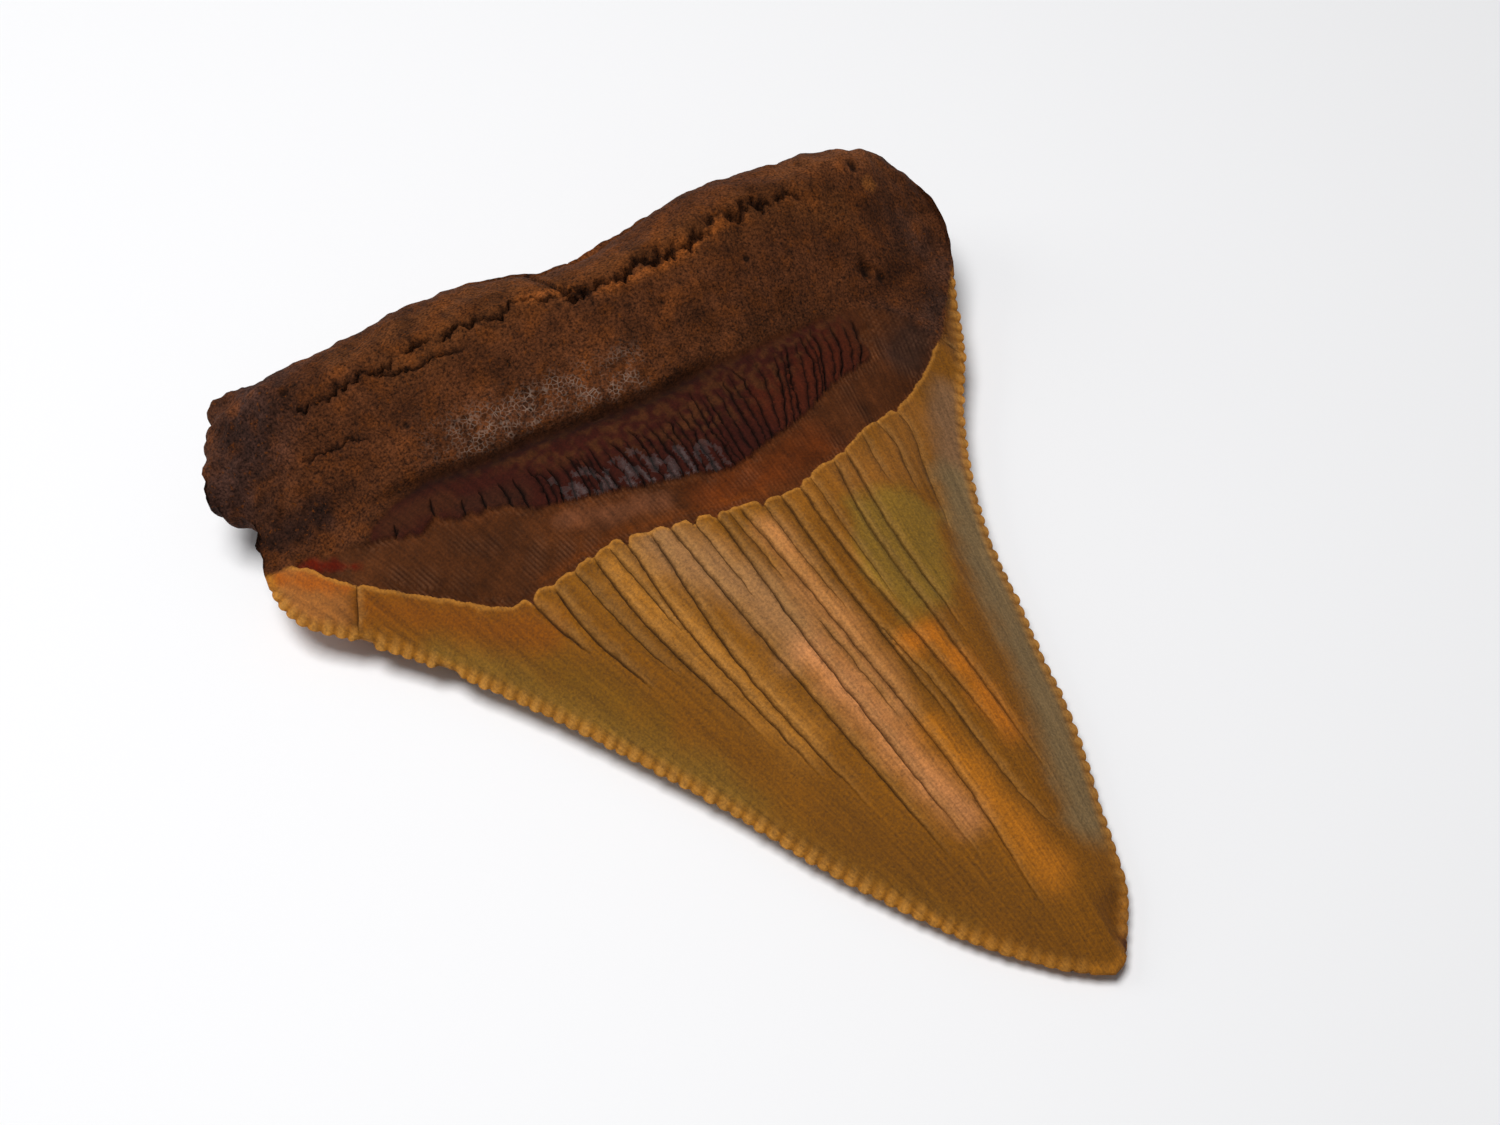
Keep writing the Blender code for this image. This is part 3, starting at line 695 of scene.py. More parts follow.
@dataclass
class LingualFace:
    """The convex upper face: root, bourlette, dentine band and cracked enamel."""

    outline: Outline
    crest: Points = ((-31.5, 0.9), (-29.0, 1.9), (-26.0, 3.1), (-20.0, 4.9), (-12.0, 6.9), (-4.0, 8.5),
                     (4.0, 9.5), (12.0, 10.0), (32.0, 10.0))
    swell: Points = ((-29.0, 8.6), (-24.0, 10.2), (-16.0, 12.0), (-8.0, 13.2), (0.0, 13.9), (8.0, 14.0),
                     (16.0, 12.9), (23.0, 11.6), (29.0, 9.6))
    crown_bell: float = 1.1
    root_round: float = 6.5
    # The root's lip over the bourlette: its steep share, its width and the run of the swelling behind it
    lip_rise: float = 0.16
    lip_width: float = 0.45
    lip_run: float = 8.0
    overhang_start: Span = (-19.0, 3.0)
    overhang_end: Span = (11.0, -8.0)
    hollow: float = 0.14
    hollow_width: float = 0.28
    enamel_step: float = 0.32
    plate_step: float = 0.3
    # The bourlette's plates stand in blocks along the strands, crumble towards the lip and glisten in places
    block_grain: Grain = Grain(0.6, 0.12, 29.0)
    crumble: Span = (1.8, 1.6)
    crumbs: Grain = Grain(0.5, 0.12, 27.0)
    wet_start: Span = (-9.0, 4.0)
    wet_end: Span = (5.4, -3.0)
    wet_height: Span = (3.2, -1.8)
    wet_border: Grain = Grain(0.9, -1.2, 30.0)
    glint_share: float = 0.64
    glint_blocks: Grain = Grain(0.42, 1.8, 32.0)
    glint_specks: Grain = Grain(0.3, 0.8, 34.0)
    # The dentine's striae, and where they run on over the bone below the lip's right half
    stria_pitch: float = 0.28
    stria_depth: float = 0.045
    stria_drift: Grain = Grain(2.2, 0.09, 41.0)
    stria_strength: Grain = Grain(1.1, 0.5, 43.0)
    comb_start: Span = (3.0, 4.0)
    comb_height: float = 1.6
    swells: Grain = Grain(2.6, 0.05, 31.0)
    dimples: Grain = Grain(0.9, 0.02, 33.0)
    rim_fade: float = 0.9
    finger_fade: float = 0.12
    # The chip at the tip: a facet to the right of a line, its depth and how fast it gets deep
    facet: Points = ((11.9, -26.8), (12.5, -30.4))
    facet_depth: float = 0.5
    facet_run: float = 0.9
    facet_grain: Grain = Grain(0.8, 0.12, 35.0)
    # The growth of the tooth: the slope of its strands and how they spread, from y = 8
    strand_start: float = 8.0
    strand_slope: float = 0.25
    strand_spread: float = 0.017
    # How the borders of enamel, plates and bone fray, and how folds and plates bulge over them
    enamel_fray: tuple[Grain, ...] = (Grain(0.9, 0.12, 21.0), Grain(0.35, 0.05, 22.0))
    plate_fray: Grain = Grain(0.7, 0.12, 23.0)
    bone_fray: Grain = Grain(1.3, 0.25, 25.0)
    end_fray: Grain = Grain(1.3, 1.4, 24.0)
    left_fray: Grain = Grain(0.8, 0.3, 26.0)
    fold_bulges: tuple[float, ...] = (0.5, 0.12, 0.22)
    fold_width: float = 0.26
    plate_bulge: float = 0.3
    plate_width: float = 0.16
    # The root's roughness: lumps, the craggy ends, the foam's cells and the pores' grain
    lumps: tuple[Grain, ...] = (Grain(4.5, 0.34, 3.7), Grain(1.7, 0.17, 51.0))
    small_lumps: Grain = Grain(0.8, 0.07, 52.0)
    crags: tuple[Grain, ...] = (Grain(1.5, 0.5, 53.0), Grain(0.6, 0.3, 54.0))
    left_crags: Span = (-18.5, -5.0)
    right_crags: Span = (23.0, 4.0)
    bone_grain: Grain = Grain(0.4, 1.0, 55.0)
    foam_cell: float = 0.5
    foam_patches: Grain = Grain(1.6, 0.9, 59.0)
    pore_depth: float = 0.045
    lace_depth: float = 0.1
    # Where the bone is lacy: along the lip and above it
    lace_start: Span = (-15.0, 6.0)
    lace_end: Span = (2.6, -2.0)
    lace_foot: Span = (0.1, 0.6)
    lace_top: Span = (3.9, -2.4)
    # The mesh: the spacing of points on the bone, the plates, the borders and the crown
    root_grid: float = 0.175
    plate_grid: float = 0.2
    line_grid: float = 0.12
    crown_grid: float = 0.4
    enamel_line: Points = (
        (-26.4, 16.6), (-23.5, 14.4), (-21.3, 11.9), (-18.3, 9.5), (-15.5, 7.4), (-12.6, 5.2), (-10.8, 4.9),
        (-8.8, 4.7), (-6.6, 4.9), (-5.1, 5.0), (-3.2, 4.6), (0.0, 4.0), (3.3, 3.6), (6.1, 3.5), (7.3, 3.8),
        (9.4, 4.9), (11.4, 5.7), (14.0, 7.4), (16.1, 8.4), (18.2, 9.4), (19.9, 10.6), (21.6, 12.0),
        (23.7, 14.2), (25.3, 16.3), (27.0, 18.5), (28.4, 20.4),
    )
    plate_line: Points = (
        (-20.5, 14.3), (-18.0, 12.8), (-15.9, 11.8), (-14.5, 12.2), (-12.5, 11.1), (-10.5, 10.6),
        (-8.5, 9.3), (-6.0, 8.6), (-3.5, 7.9), (-1.0, 7.3), (1.8, 6.8), (3.5, 6.4), (5.5, 6.9), (8.0, 8.0),
        (10.4, 9.1), (12.5, 10.5), (14.5, 11.7), (17.0, 12.7), (19.3, 14.3),
    )
    groove_line: Points = (
        (-26.2, 17.6), (-23.0, 16.2), (-18.1, 15.5), (-13.8, 15.1), (-10.5, 14.3), (-7.0, 14.1),
        (-2.2, 13.7), (1.5, 13.8), (5.5, 14.6), (8.8, 15.1), (12.7, 16.0), (17.5, 17.3), (23.3, 19.3),
        (28.6, 21.6),
    )
    # The lower border of the porous bone, which at both ends runs on below the lip
    bone_line: Points = (
        (-27.0, 15.4), (-24.5, 14.9), (-22.7, 14.6), (-20.2, 13.6), (-18.9, 13.2), (-17.9, 14.1),
        (-16.1, 14.7), (-13.8, 15.1), (-10.5, 14.3), (-7.0, 14.1), (-2.2, 13.7), (1.5, 13.8), (5.5, 14.6),
        (8.8, 15.1),
        (12.7, 16.0), (17.2, 17.0), (19.8, 17.2), (21.6, 16.4), (22.8, 14.9), (23.6, 13.6), (24.6, 14.6),
        (26.1, 16.8), (28.4, 20.2),
    )
    # Nutrient pits in the root: x, y, radius and depth
    pits: Points = ((20.5, 19.9, 0.8, 0.7), (21.6, 19.4, 0.5, 0.4), (-14.0, 18.2, 0.35, 0.25),
                    (-6.5, 18.6, 0.3, 0.2), (4.6, 18.9, 0.3, 0.2), (11.5, 20.6, 0.35, 0.25),
                    (-20.5, 23.5, 0.5, 0.4), (22.5, 26.2, 0.6, 0.5))

    def __post_init__(self) -> None:
        """Draw the lines and open the cracks."""
        self.enamel_curve = smooth_curve(self.enamel_line)
        self.plate_curve = smooth_curve(self.plate_line)
        self.groove_curve, self.bone_curve = smooth_curve(self.groove_line), smooth_curve(self.bone_line)
        self.crest_curve, self.swell_curve = smooth_curve(self.crest), smooth_curve(self.swell)
        self.crown_cracks = self.open_crown_cracks()
        self.dividers = self.open_dividers()
        self.root_cracks = self.open_root_cracks()

    @staticmethod
    def open_crown_cracks() -> list[Crack]:
        """Open the age cracks in the enamel, from the enamel line towards the tip."""
        wide = (
            ((-11.0, 4.5), (-10.3, 2.8), (-8.9, -0.1)),
            ((-9.4, 4.4), (-8.4, 0.6), (-6.2, -4.1)),
            ((-6.5, 4.6), (-5.1, -0.9), (-1.5, -10.0)),
            ((-4.3, 4.5), (-3.0, -2.6), (0.7, -14.0)),
            ((-2.7, 4.2), (-1.2, -5.4), (2.4, -16.6)),
            ((-1.5, 4.1), (0.8, -5.2), (5.4, -21.4)),
            ((1.5, 3.6), (3.3, -7.0), (7.0, -22.2)),
            ((3.1, 3.4), (5.4, -6.5), (7.9, -17.1), (9.1, -26.0)),
            ((6.0, 3.3), (6.9, -3.9), (9.1, -14.2)),
            ((7.5, 3.6), (8.4, -2.7), (11.8, -16.0)),
            ((10.7, 5.1), (10.8, -2.1), (13.7, -19.4)),
            ((11.9, 5.7), (12.2, -1.5), (13.2, -8.8)),
        )
        fine = (
            ((0.0, 3.8), (0.8, 0.1), (1.4, -2.8)),
            ((4.4, -5.6), (5.2, -8.9), (6.2, -13.1)),
            ((7.8, -7.3), (9.3, -12.0), (10.8, -18.9), (12.4, -22.8)),
            ((8.5, 4.2), (9.0, -0.7), (9.7, -5.9)),
            ((13.8, 7.1), (13.8, 4.3), (14.1, 2.9)),
            ((15.4, 7.9), (16.0, 6.1), (15.8, 4.9), (15.7, 2.3)),
            ((17.4, 8.8), (17.8, 7.1), (17.2, 3.9), (16.6, -0.9)),
            ((-7.9, 4.5), (-6.4, -0.2), (-4.6, -4.4)),
            ((-5.4, 4.6), (-4.6, 1.6), (-3.4, -2.4)),
            ((4.6, 3.2), (5.3, -1.0), (6.4, -6.0)),
            ((2.3, 3.4), (3.0, 0.4), (3.5, -2.4)),
            ((-20.6, 11.4), (-21.0, 10.4), (-21.7, 8.9)),
            ((24.0, 14.2), (25.1, 13.1)),
        )
        cracks = [Crack(course, width=0.2, depth=0.24, shoulder=0.05, wander=0.07) for course in wide]
        return cracks + [Crack(course, width=0.12, depth=0.11, shoulder=0.03, wander=0.08)
                         for course in fine]

    @staticmethod
    def open_dividers() -> list[Crack]:
        """Open the gaps between the bourlette's plates, from their lower ends up under the root's lip."""
        courses = (
            ((-17.3, 12.3), (-17.0, 13.4)), ((-14.5, 12.1), (-14.4, 13.7)), ((-12.7, 11.0), (-12.6, 12.4)),
            ((-11.3, 10.5), (-11.4, 12.4)), ((-9.8, 9.9), (-10.0, 12.2)), ((-8.9, 9.3), (-9.1, 12.0)),
            ((-7.7, 8.9), (-7.7, 10.6), (-8.1, 12.2)), ((-6.8, 8.6), (-6.6, 10.3), (-6.9, 11.6)),
            ((-5.1, 8.1), (-5.2, 10.8), (-5.5, 11.8)), ((-4.1, 7.7), (-4.5, 10.4), (-4.7, 11.4)),
            ((-3.1, 7.5), (-3.8, 10.6), (-4.0, 11.6)), ((-1.6, 7.1), (-2.0, 10.1), (-2.6, 11.6)),
            ((-0.4, 6.9), (-0.7, 10.2), (-1.1, 11.8)), ((0.9, 6.7), (0.6, 10.0), (0.3, 11.4)),
            ((1.9, 6.5), (1.7, 10.0), (1.5, 11.8)), ((2.8, 6.2), (2.8, 9.3), (2.6, 12.2)),
            ((4.3, 6.2), (4.0, 9.0), (3.8, 13.2)), ((5.2, 6.5), (4.9, 8.7), (4.9, 12.6)),
            ((6.4, 7.1), (6.4, 10.4), (6.3, 13.6)), ((7.5, 7.6), (7.8, 11.0), (7.4, 14.2)),
            ((8.8, 8.3), (10.1, 11.9), (10.8, 14.6)), ((10.2, 8.9), (11.2, 12.9), (11.9, 15.2)),
            ((11.8, 9.9), (13.0, 12.7), (13.2, 15.6)), ((12.9, 10.7), (14.0, 13.7), (14.2, 16.0)),
            ((14.6, 11.6), (15.6, 13.9), (15.8, 16.2)), ((16.4, 12.4), (17.4, 14.4), (17.6, 16.6)),
            ((18.3, 13.4), (19.1, 15.2)),
        )
        wide = [Crack(course, width=0.18, depth=0.32, shoulder=0.03, wander=0.14, ragged=0.6)
                for course in courses]
        between = [tuple((0.5 * (a[0] + b[0]), 0.5 * (a[1] + b[1]) - 0.2) for a, b in zip(one, other))
                   for one, other in zip(courses[:-1], courses[1:])
                   if len(one) == len(other) and one[0][0] > -8]
        return wide + [Crack(course, width=0.1, depth=0.16, shoulder=0.02, wander=0.14, ragged=0.6)
                       for course in between]

    @staticmethod
    def open_root_cracks() -> list[Crack]:
        """Open the long fissure along the root and its branches."""
        flake = ((-20.4, 22.3), (-17.7, 21.9), (-14.1, 22.0), (-11.3, 22.0), (-7.9, 21.7), (-3.7, 21.7),
                 (-1.1, 21.1), (0.0, 20.2), (0.2, 19.2))
        slot = ((-1.4, 21.7), (-0.5, 20.9), (1.1, 20.8), (3.4, 21.1), (6.6, 21.6), (8.1, 21.9),
                (10.0, 22.9), (11.7, 23.4), (15.2, 23.7), (17.4, 24.2), (20.2, 24.7))
        notch = ((-2.1, 27.3), (-2.4, 24.3), (-1.6, 21.9), (-0.2, 20.9))
        below = ((-14.3, 21.6), (-12.4, 20.9), (-10.4, 20.7), (-8.6, 20.2))
        lobe = ((-20.9, 19.7), (-18.9, 19.3), (-17.5, 19.1), (-16.2, 18.4))
        fine = 0.16
        return [
            Crack(flake, width=0.26, depth=0.36, shoulder=0.08, wander=0.5, ragged=0.6, lift=0.22,
                  patchy=0.7, step=fine),
            Crack(slot, width=0.4, depth=0.5, shoulder=0.24, wander=0.6, ragged=0.8, lift=0.2,
                  patchy=0.75, step=fine),
            Crack(notch, width=0.4, depth=0.5, shoulder=0.06, wander=0.2, ragged=0.6, step=fine,
                  open_end=True),
            Crack(below, width=0.26, depth=0.3, shoulder=0.04, wander=0.3, ragged=0.8, lift=0.1, step=fine),
            Crack(lobe, width=0.22, depth=0.2, shoulder=0.04, wander=0.3, ragged=0.8, step=fine),
        ]

    def strand(self, points: np.ndarray) -> np.ndarray:
        """Give which strand of the tooth's growth a point lies on: where it meets y = 8, in mm."""
        run = self.strand_start - points[:, 1]
        return (points[:, 0] - self.strand_slope * run) / (1 - self.strand_spread * run)

    def crown_height(self, points: np.ndarray) -> np.ndarray:
        """Give the height of the crown's convex face."""
        x, y = points[:, 0], points[:, 1]
        rim = self.outline
        left, right = rim.edge_at(rim.left, y, 0), rim.edge_at(rim.right, y, 0)
        share = np.clip((x - left) / np.maximum(right - left, 0.1), 0.0, 1.0)
        low = rim.edge_at(rim.left, y, 2) * (1 - share) + rim.edge_at(rim.right, y, 2) * share
        crest = np.interp(y, self.crest_curve[:, 0], self.crest_curve[:, 1])
        across = 2 * share - 1
        return low + np.maximum(crest - low, 0.0) * np.clip(1 - across ** 2, 0.0, 1.0) ** self.crown_bell

    def root_height(self, points: np.ndarray) -> np.ndarray:
        """Give the height of the root's swollen face, rounded down to its rim."""
        root = self.outline.root
        swell = np.interp(points[:, 0], self.swell_curve[:, 0], self.swell_curve[:, 1])
        gap = distance_to(points, self.outline.worn_root)
        rim = np.interp(distance_along(points, root)[1], arc_lengths(root), root[:, 2])
        reach = 1 - np.clip(gap / self.root_round, 0.0, 1.0)
        return rim + (swell - rim) * np.sqrt(1 - reach ** 2)

    def borders(self, points: np.ndarray) -> Measures:
        """Measure how far points lie past the lines across the face.

        Returns:
            The signed distances past the enamel's line, the plates' ends, the lip and the bone's border.
        """
        x = points[:, 0]
        enamel = above(points, self.enamel_curve) + grains_at(points, self.enamel_fray)
        plates = above(points, self.plate_curve) + self.plate_fray.at(points)
        folds = []
        for number, crack in enumerate(self.crown_cracks):
            size = self.fold_bulges[number % len(self.fold_bulges)]
            folds.append(size * (1 - 0.6 * ramp(np.array(crack.line[0][0]), 3.0, 5.0)))
        self.bulge(points, enamel, self.crown_cracks, folds, self.fold_width)
        self.bulge(points, plates, self.dividers, [-self.plate_bulge] * len(self.dividers), self.plate_width)
        first, last = self.plate_line[0][0], self.plate_line[-1][0]
        frayed = x + self.end_fray.at(points)
        plates -= 3 * ramp(frayed, first + 1.5, -2.0) + 4 * ramp(frayed, last - 2.5, 3.0)
        plates += self.left_fray.at(points) * ramp(x, -8.0, -3.0)
        bone = above(points, self.bone_curve) + self.bone_fray.at(points)
        return {"past_enamel": enamel, "past_plates": plates, "past_bone": bone,
                "past_groove": above(points, self.groove_curve)}

    @staticmethod
    def bulge(points: np.ndarray, border: np.ndarray, cracks: list[Crack], sizes: list[float],
              width: float) -> None:
        """Move a border beside the tops of cracks by a size at each, so that it bulges between them."""
        near = np.abs(border) < 1.5
        for crack, size in zip(cracks, sizes):
            top = crack.line[0]
            gap = np.hypot(points[near, 0] - top[0], 0.35 * (points[near, 1] - top[1]))
            border[near] += size * hump(gap, width)

    def relief(self, points: np.ndarray) -> tuple[np.ndarray, Measures]:
        """Raise the face.

        Args:
            points: The plan points.

        Returns:
            The heights, and the measures that the colours need.
        """
        at = self.borders(points)
        past_groove, past_plates, x = at["past_groove"], at["past_plates"], points[:, 0]
        inside = self.outline.inside(points)
        overhang = ramp(x, *self.overhang_start) * ramp(x, *self.overhang_end)
        bony = ramp(at["past_bone"], -0.1, 0.5)
        below_lip = ramp(past_groove, 0.3, -0.6)
        band = ramp(at["past_enamel"], 0.0, 0.14) * (1 - bony)
        plate = ramp(past_plates, 0.0, 0.16) * below_lip * band
        striae = self.striae(points)
        combed = ramp(x, *self.comb_start) * ramp(past_groove, self.comb_height, -self.comb_height)
        combed *= past_groove > -0.3
        crumbly = plate * ramp(past_plates, *self.crumble)
        blocks = np.column_stack([self.strand(points), 0.3 * points[:, 1]])
        relief = -self.enamel_step * band * below_lip
        relief += self.plate_step * plate * np.clip(0.3 - past_groove / 1.4, 0.0, 1.0)
        relief -= self.hollow * overhang * hump(past_groove + 0.15, self.hollow_width)
        relief += self.stria_depth * striae * np.maximum(band * (1 - 0.5 * plate), combed)
        relief += crumbly * self.crumbs.at(points) + plate * self.block_grain.at(blocks)
        relief += self.swells.at(points) + self.dimples.at(points) * (1 - bony)
        wear = Wear.none(len(points))
        free = (1 - bony) + bony * (1 - below_lip)
        for cracks, share in ((self.crown_cracks, 1 - band), (self.dividers, plate),
                              (self.root_cracks, bony)):
            for crack in cracks:
                crack.cut(points, share * free, wear)
        facet = self.tip_facet(points)
        bone_relief, pore = self.bone_relief(points, bony)
        ridge, edge = self.outline.ridges(points)
        relief = (relief - wear.depth - facet + bone_relief) * ramp(inside, 0.0, self.rim_fade)
        relief += self.outline.finger_height * ridge * (1 - bony) * ramp(inside, 0.0, self.finger_fade)
        at.update(bony=bony, band=band, plate=plate, striae=striae, dark=wear.dark, bank=wear.bank,
                  tone=wear.tone, pore=pore, ridge=ridge, edge=edge * (1 - bony), crumbly=crumbly,
                  facet=facet, combed=combed, wet=self.wet(points, plate, past_plates, blocks),
                  overhang=overhang)
        return self.swollen(points, past_groove, overhang) + relief, at

    def swollen(self, points: np.ndarray, past_groove: np.ndarray, overhang: np.ndarray) -> np.ndarray:
        """Give the height of crown and root together, the root rising from its lip."""
        crown = self.crown_height(points)
        run = np.clip(past_groove / self.lip_run, 0.0, 1.0)
        rise = self.lip_rise * (0.2 + 0.8 * overhang)
        lip = (rise * (1 - np.exp(-np.maximum(past_groove, 0.0) / self.lip_width))
               + (1 - rise) * 0.5 * (smoothstep(run) + run))
        return crown + np.maximum(self.root_height(points) - crown, 0.0) * lip

    def wet(self, points: np.ndarray, plate: np.ndarray, past_plates: np.ndarray,
            blocks: np.ndarray) -> np.ndarray:
        """Give where the plates glisten as if wet: on the middle ones, in broken glints.

        Args:
            points: The plan points.
            plate: How much of a plate each is.
            past_plates: How far each lies past the plates' lower ends.
            blocks: The points along and across the strands, for noise in blocks.

        Returns:
            How wet each point is, from 0 to 1.
        """
        wet = plate * ramp(points[:, 0], *self.wet_start) * ramp(points[:, 0], *self.wet_end)
        wet *= ramp(past_plates + self.wet_border.at(blocks), *self.wet_height)
        broken = self.glint_blocks.at(blocks) + self.glint_specks.at(points)
        return wet * smoothstep(self.glint_share + broken)

    def tip_facet(self, points: np.ndarray) -> np.ndarray:
        """Give how deep the chip at the tip is: a slanting facet along the right edge."""
        start, end = np.array(self.facet[0]), np.array(self.facet[1])
        along = (end - start) / np.linalg.norm(end - start)
        off = points[:, :2] - start
        past = along[0] * off[:, 1] - along[1] * off[:, 0] + self.facet_grain.at(points)
        return self.facet_depth * np.clip(past / self.facet_run, 0.0, 1.0) * ramp(off @ along, -0.6, 1.6)

    def striae(self, points: np.ndarray) -> np.ndarray:
        """Give the dentine's fine ridges along the strands of growth, from -1 to 1."""
        strand = self.strand(points) + self.stria_drift.at(points)
        strength = 0.75 + self.stria_strength.at(points)
        return strength * np.cos(2 * math.pi * strand / self.stria_pitch)

    def lace(self, points: np.ndarray, past_groove: np.ndarray) -> np.ndarray:
        """Give where the bone is foamy and glossy: a patch just above the lip, left of the middle."""
        along = ramp(points[:, 0], *self.lace_start) * ramp(points[:, 0], *self.lace_end)
        return along * ramp(past_groove, *self.lace_foot) * ramp(past_groove, *self.lace_top)

    def bone_relief(self, points: np.ndarray, bony: np.ndarray) -> tuple[np.ndarray, np.ndarray]:
        """Roughen the root.

        Args:
            points: The plan points.
            bony: How much of bone each point is.

        Returns:
            The relief, and how deep in a pore each point is, from 0 to 1.
        """
        relief, pore = np.zeros(len(points)), np.zeros(len(points))
        bone = bony > 0.01
        spots = points[bone]
        lump = grains_at(spots, self.lumps) + self.small_lumps.at(spots)
        craggy = ramp(spots[:, 0], *self.left_crags) + 0.5 * ramp(spots[:, 0], *self.right_crags)
        lump += craggy * grains_at(spots, self.crags)
        lace = self.lace(spots, above(spots, self.groove_curve))
        grain = self.bone_grain.at(spots)
        holes = ramp(cells_at(spots, self.foam_cell, 57.0), 0.18, 0.35)
        patchy = smoothstep(0.5 + self.foam_patches.at(spots))
        lump -= (self.pore_depth * patchy + self.lace_depth * lace) * holes + 0.04 * grain
        pit = np.zeros(len(spots))
        for x, y, radius, deep in self.pits:
            gap = np.hypot(spots[:, 0] - x, spots[:, 1] - y) * (1 + 0.5 * grain)
            hollow = smoothstep(1.3 * (1 - gap / radius))
            lump -= deep * hollow
            pit = np.maximum(pit, hollow)
        relief[bone] = lump * bony[bone]
        pore[bone] = np.maximum(holes * np.maximum(patchy, lace), 1.7 * pit)
        return relief, pore

    def layout(self, rows: np.ndarray) -> tuple[list[np.ndarray], np.ndarray]:
        """Lay the plan points of the face inside the rim, with the rows behind the rim among them."""
        cracks = self.crown_cracks + self.dividers + self.root_cracks
        return self.outline.lay(cracks, rows, self.fills(), 0.3)

    def fills(self) -> list[tuple[np.ndarray, float]]:
        """Give each zone's own lattice of points, with the gap that it keeps to the points before it."""
        keep_inside = self.outline.keep_inside
        low, high = (-30.0, -32.0), (30.0, 32.0)
        lines = lattice((-28.0, 2.0), (30.0, 23.0), self.line_grid)
        near = np.minimum(np.abs(above(lines, self.enamel_curve) - 0.05),
                          np.abs(above(lines, self.plate_curve) - 0.05)) < 0.42
        lines = keep_inside(lines[near], 0.4)
        rows = keep_inside(self.stria_points(), 0.5)
        grid = lattice((-30.0, 3.0), high, self.plate_grid)
        below_lip = above(grid, self.groove_curve) < 0.1
        plates = keep_inside(grid[below_lip & (above(grid, self.enamel_curve) > 0.3)], 0.5)
        bone = lattice((-30.0, 10.0), high, self.root_grid)
        bone = keep_inside(bone[above(bone, self.groove_curve) > -0.2], 0.3)
        crown = lattice(low, (30.0, 21.0), self.crown_grid)
        crown = keep_inside(crown[above(crown, self.enamel_curve) < 0.0], 1.3)
        return [(lines, 0.075), (rows, 0.09), (plates, 0.13), (bone, 0.11), (crown, 0.26)]

    def stria_points(self) -> np.ndarray:
        """Give points on the crest and in the bottom of each stria of the dentine band."""
        strand = np.arange(-32.0, 30.0, self.stria_pitch / 2)
        rows = []
        for y in np.arange(3.5, 14.0, 0.26):
            run = self.strand_start - y
            across = strand * (1 - self.strand_spread * run) + self.strand_slope * run
            rows.append(np.stack([across, np.full(len(strand), y)], axis=1))
        points = np.concatenate(rows)
        in_band = (above(points, self.enamel_curve) > 0.4) & (above(points, self.plate_curve) < -0.3)
        return points[in_band & (above(points, self.groove_curve) < -0.3)]


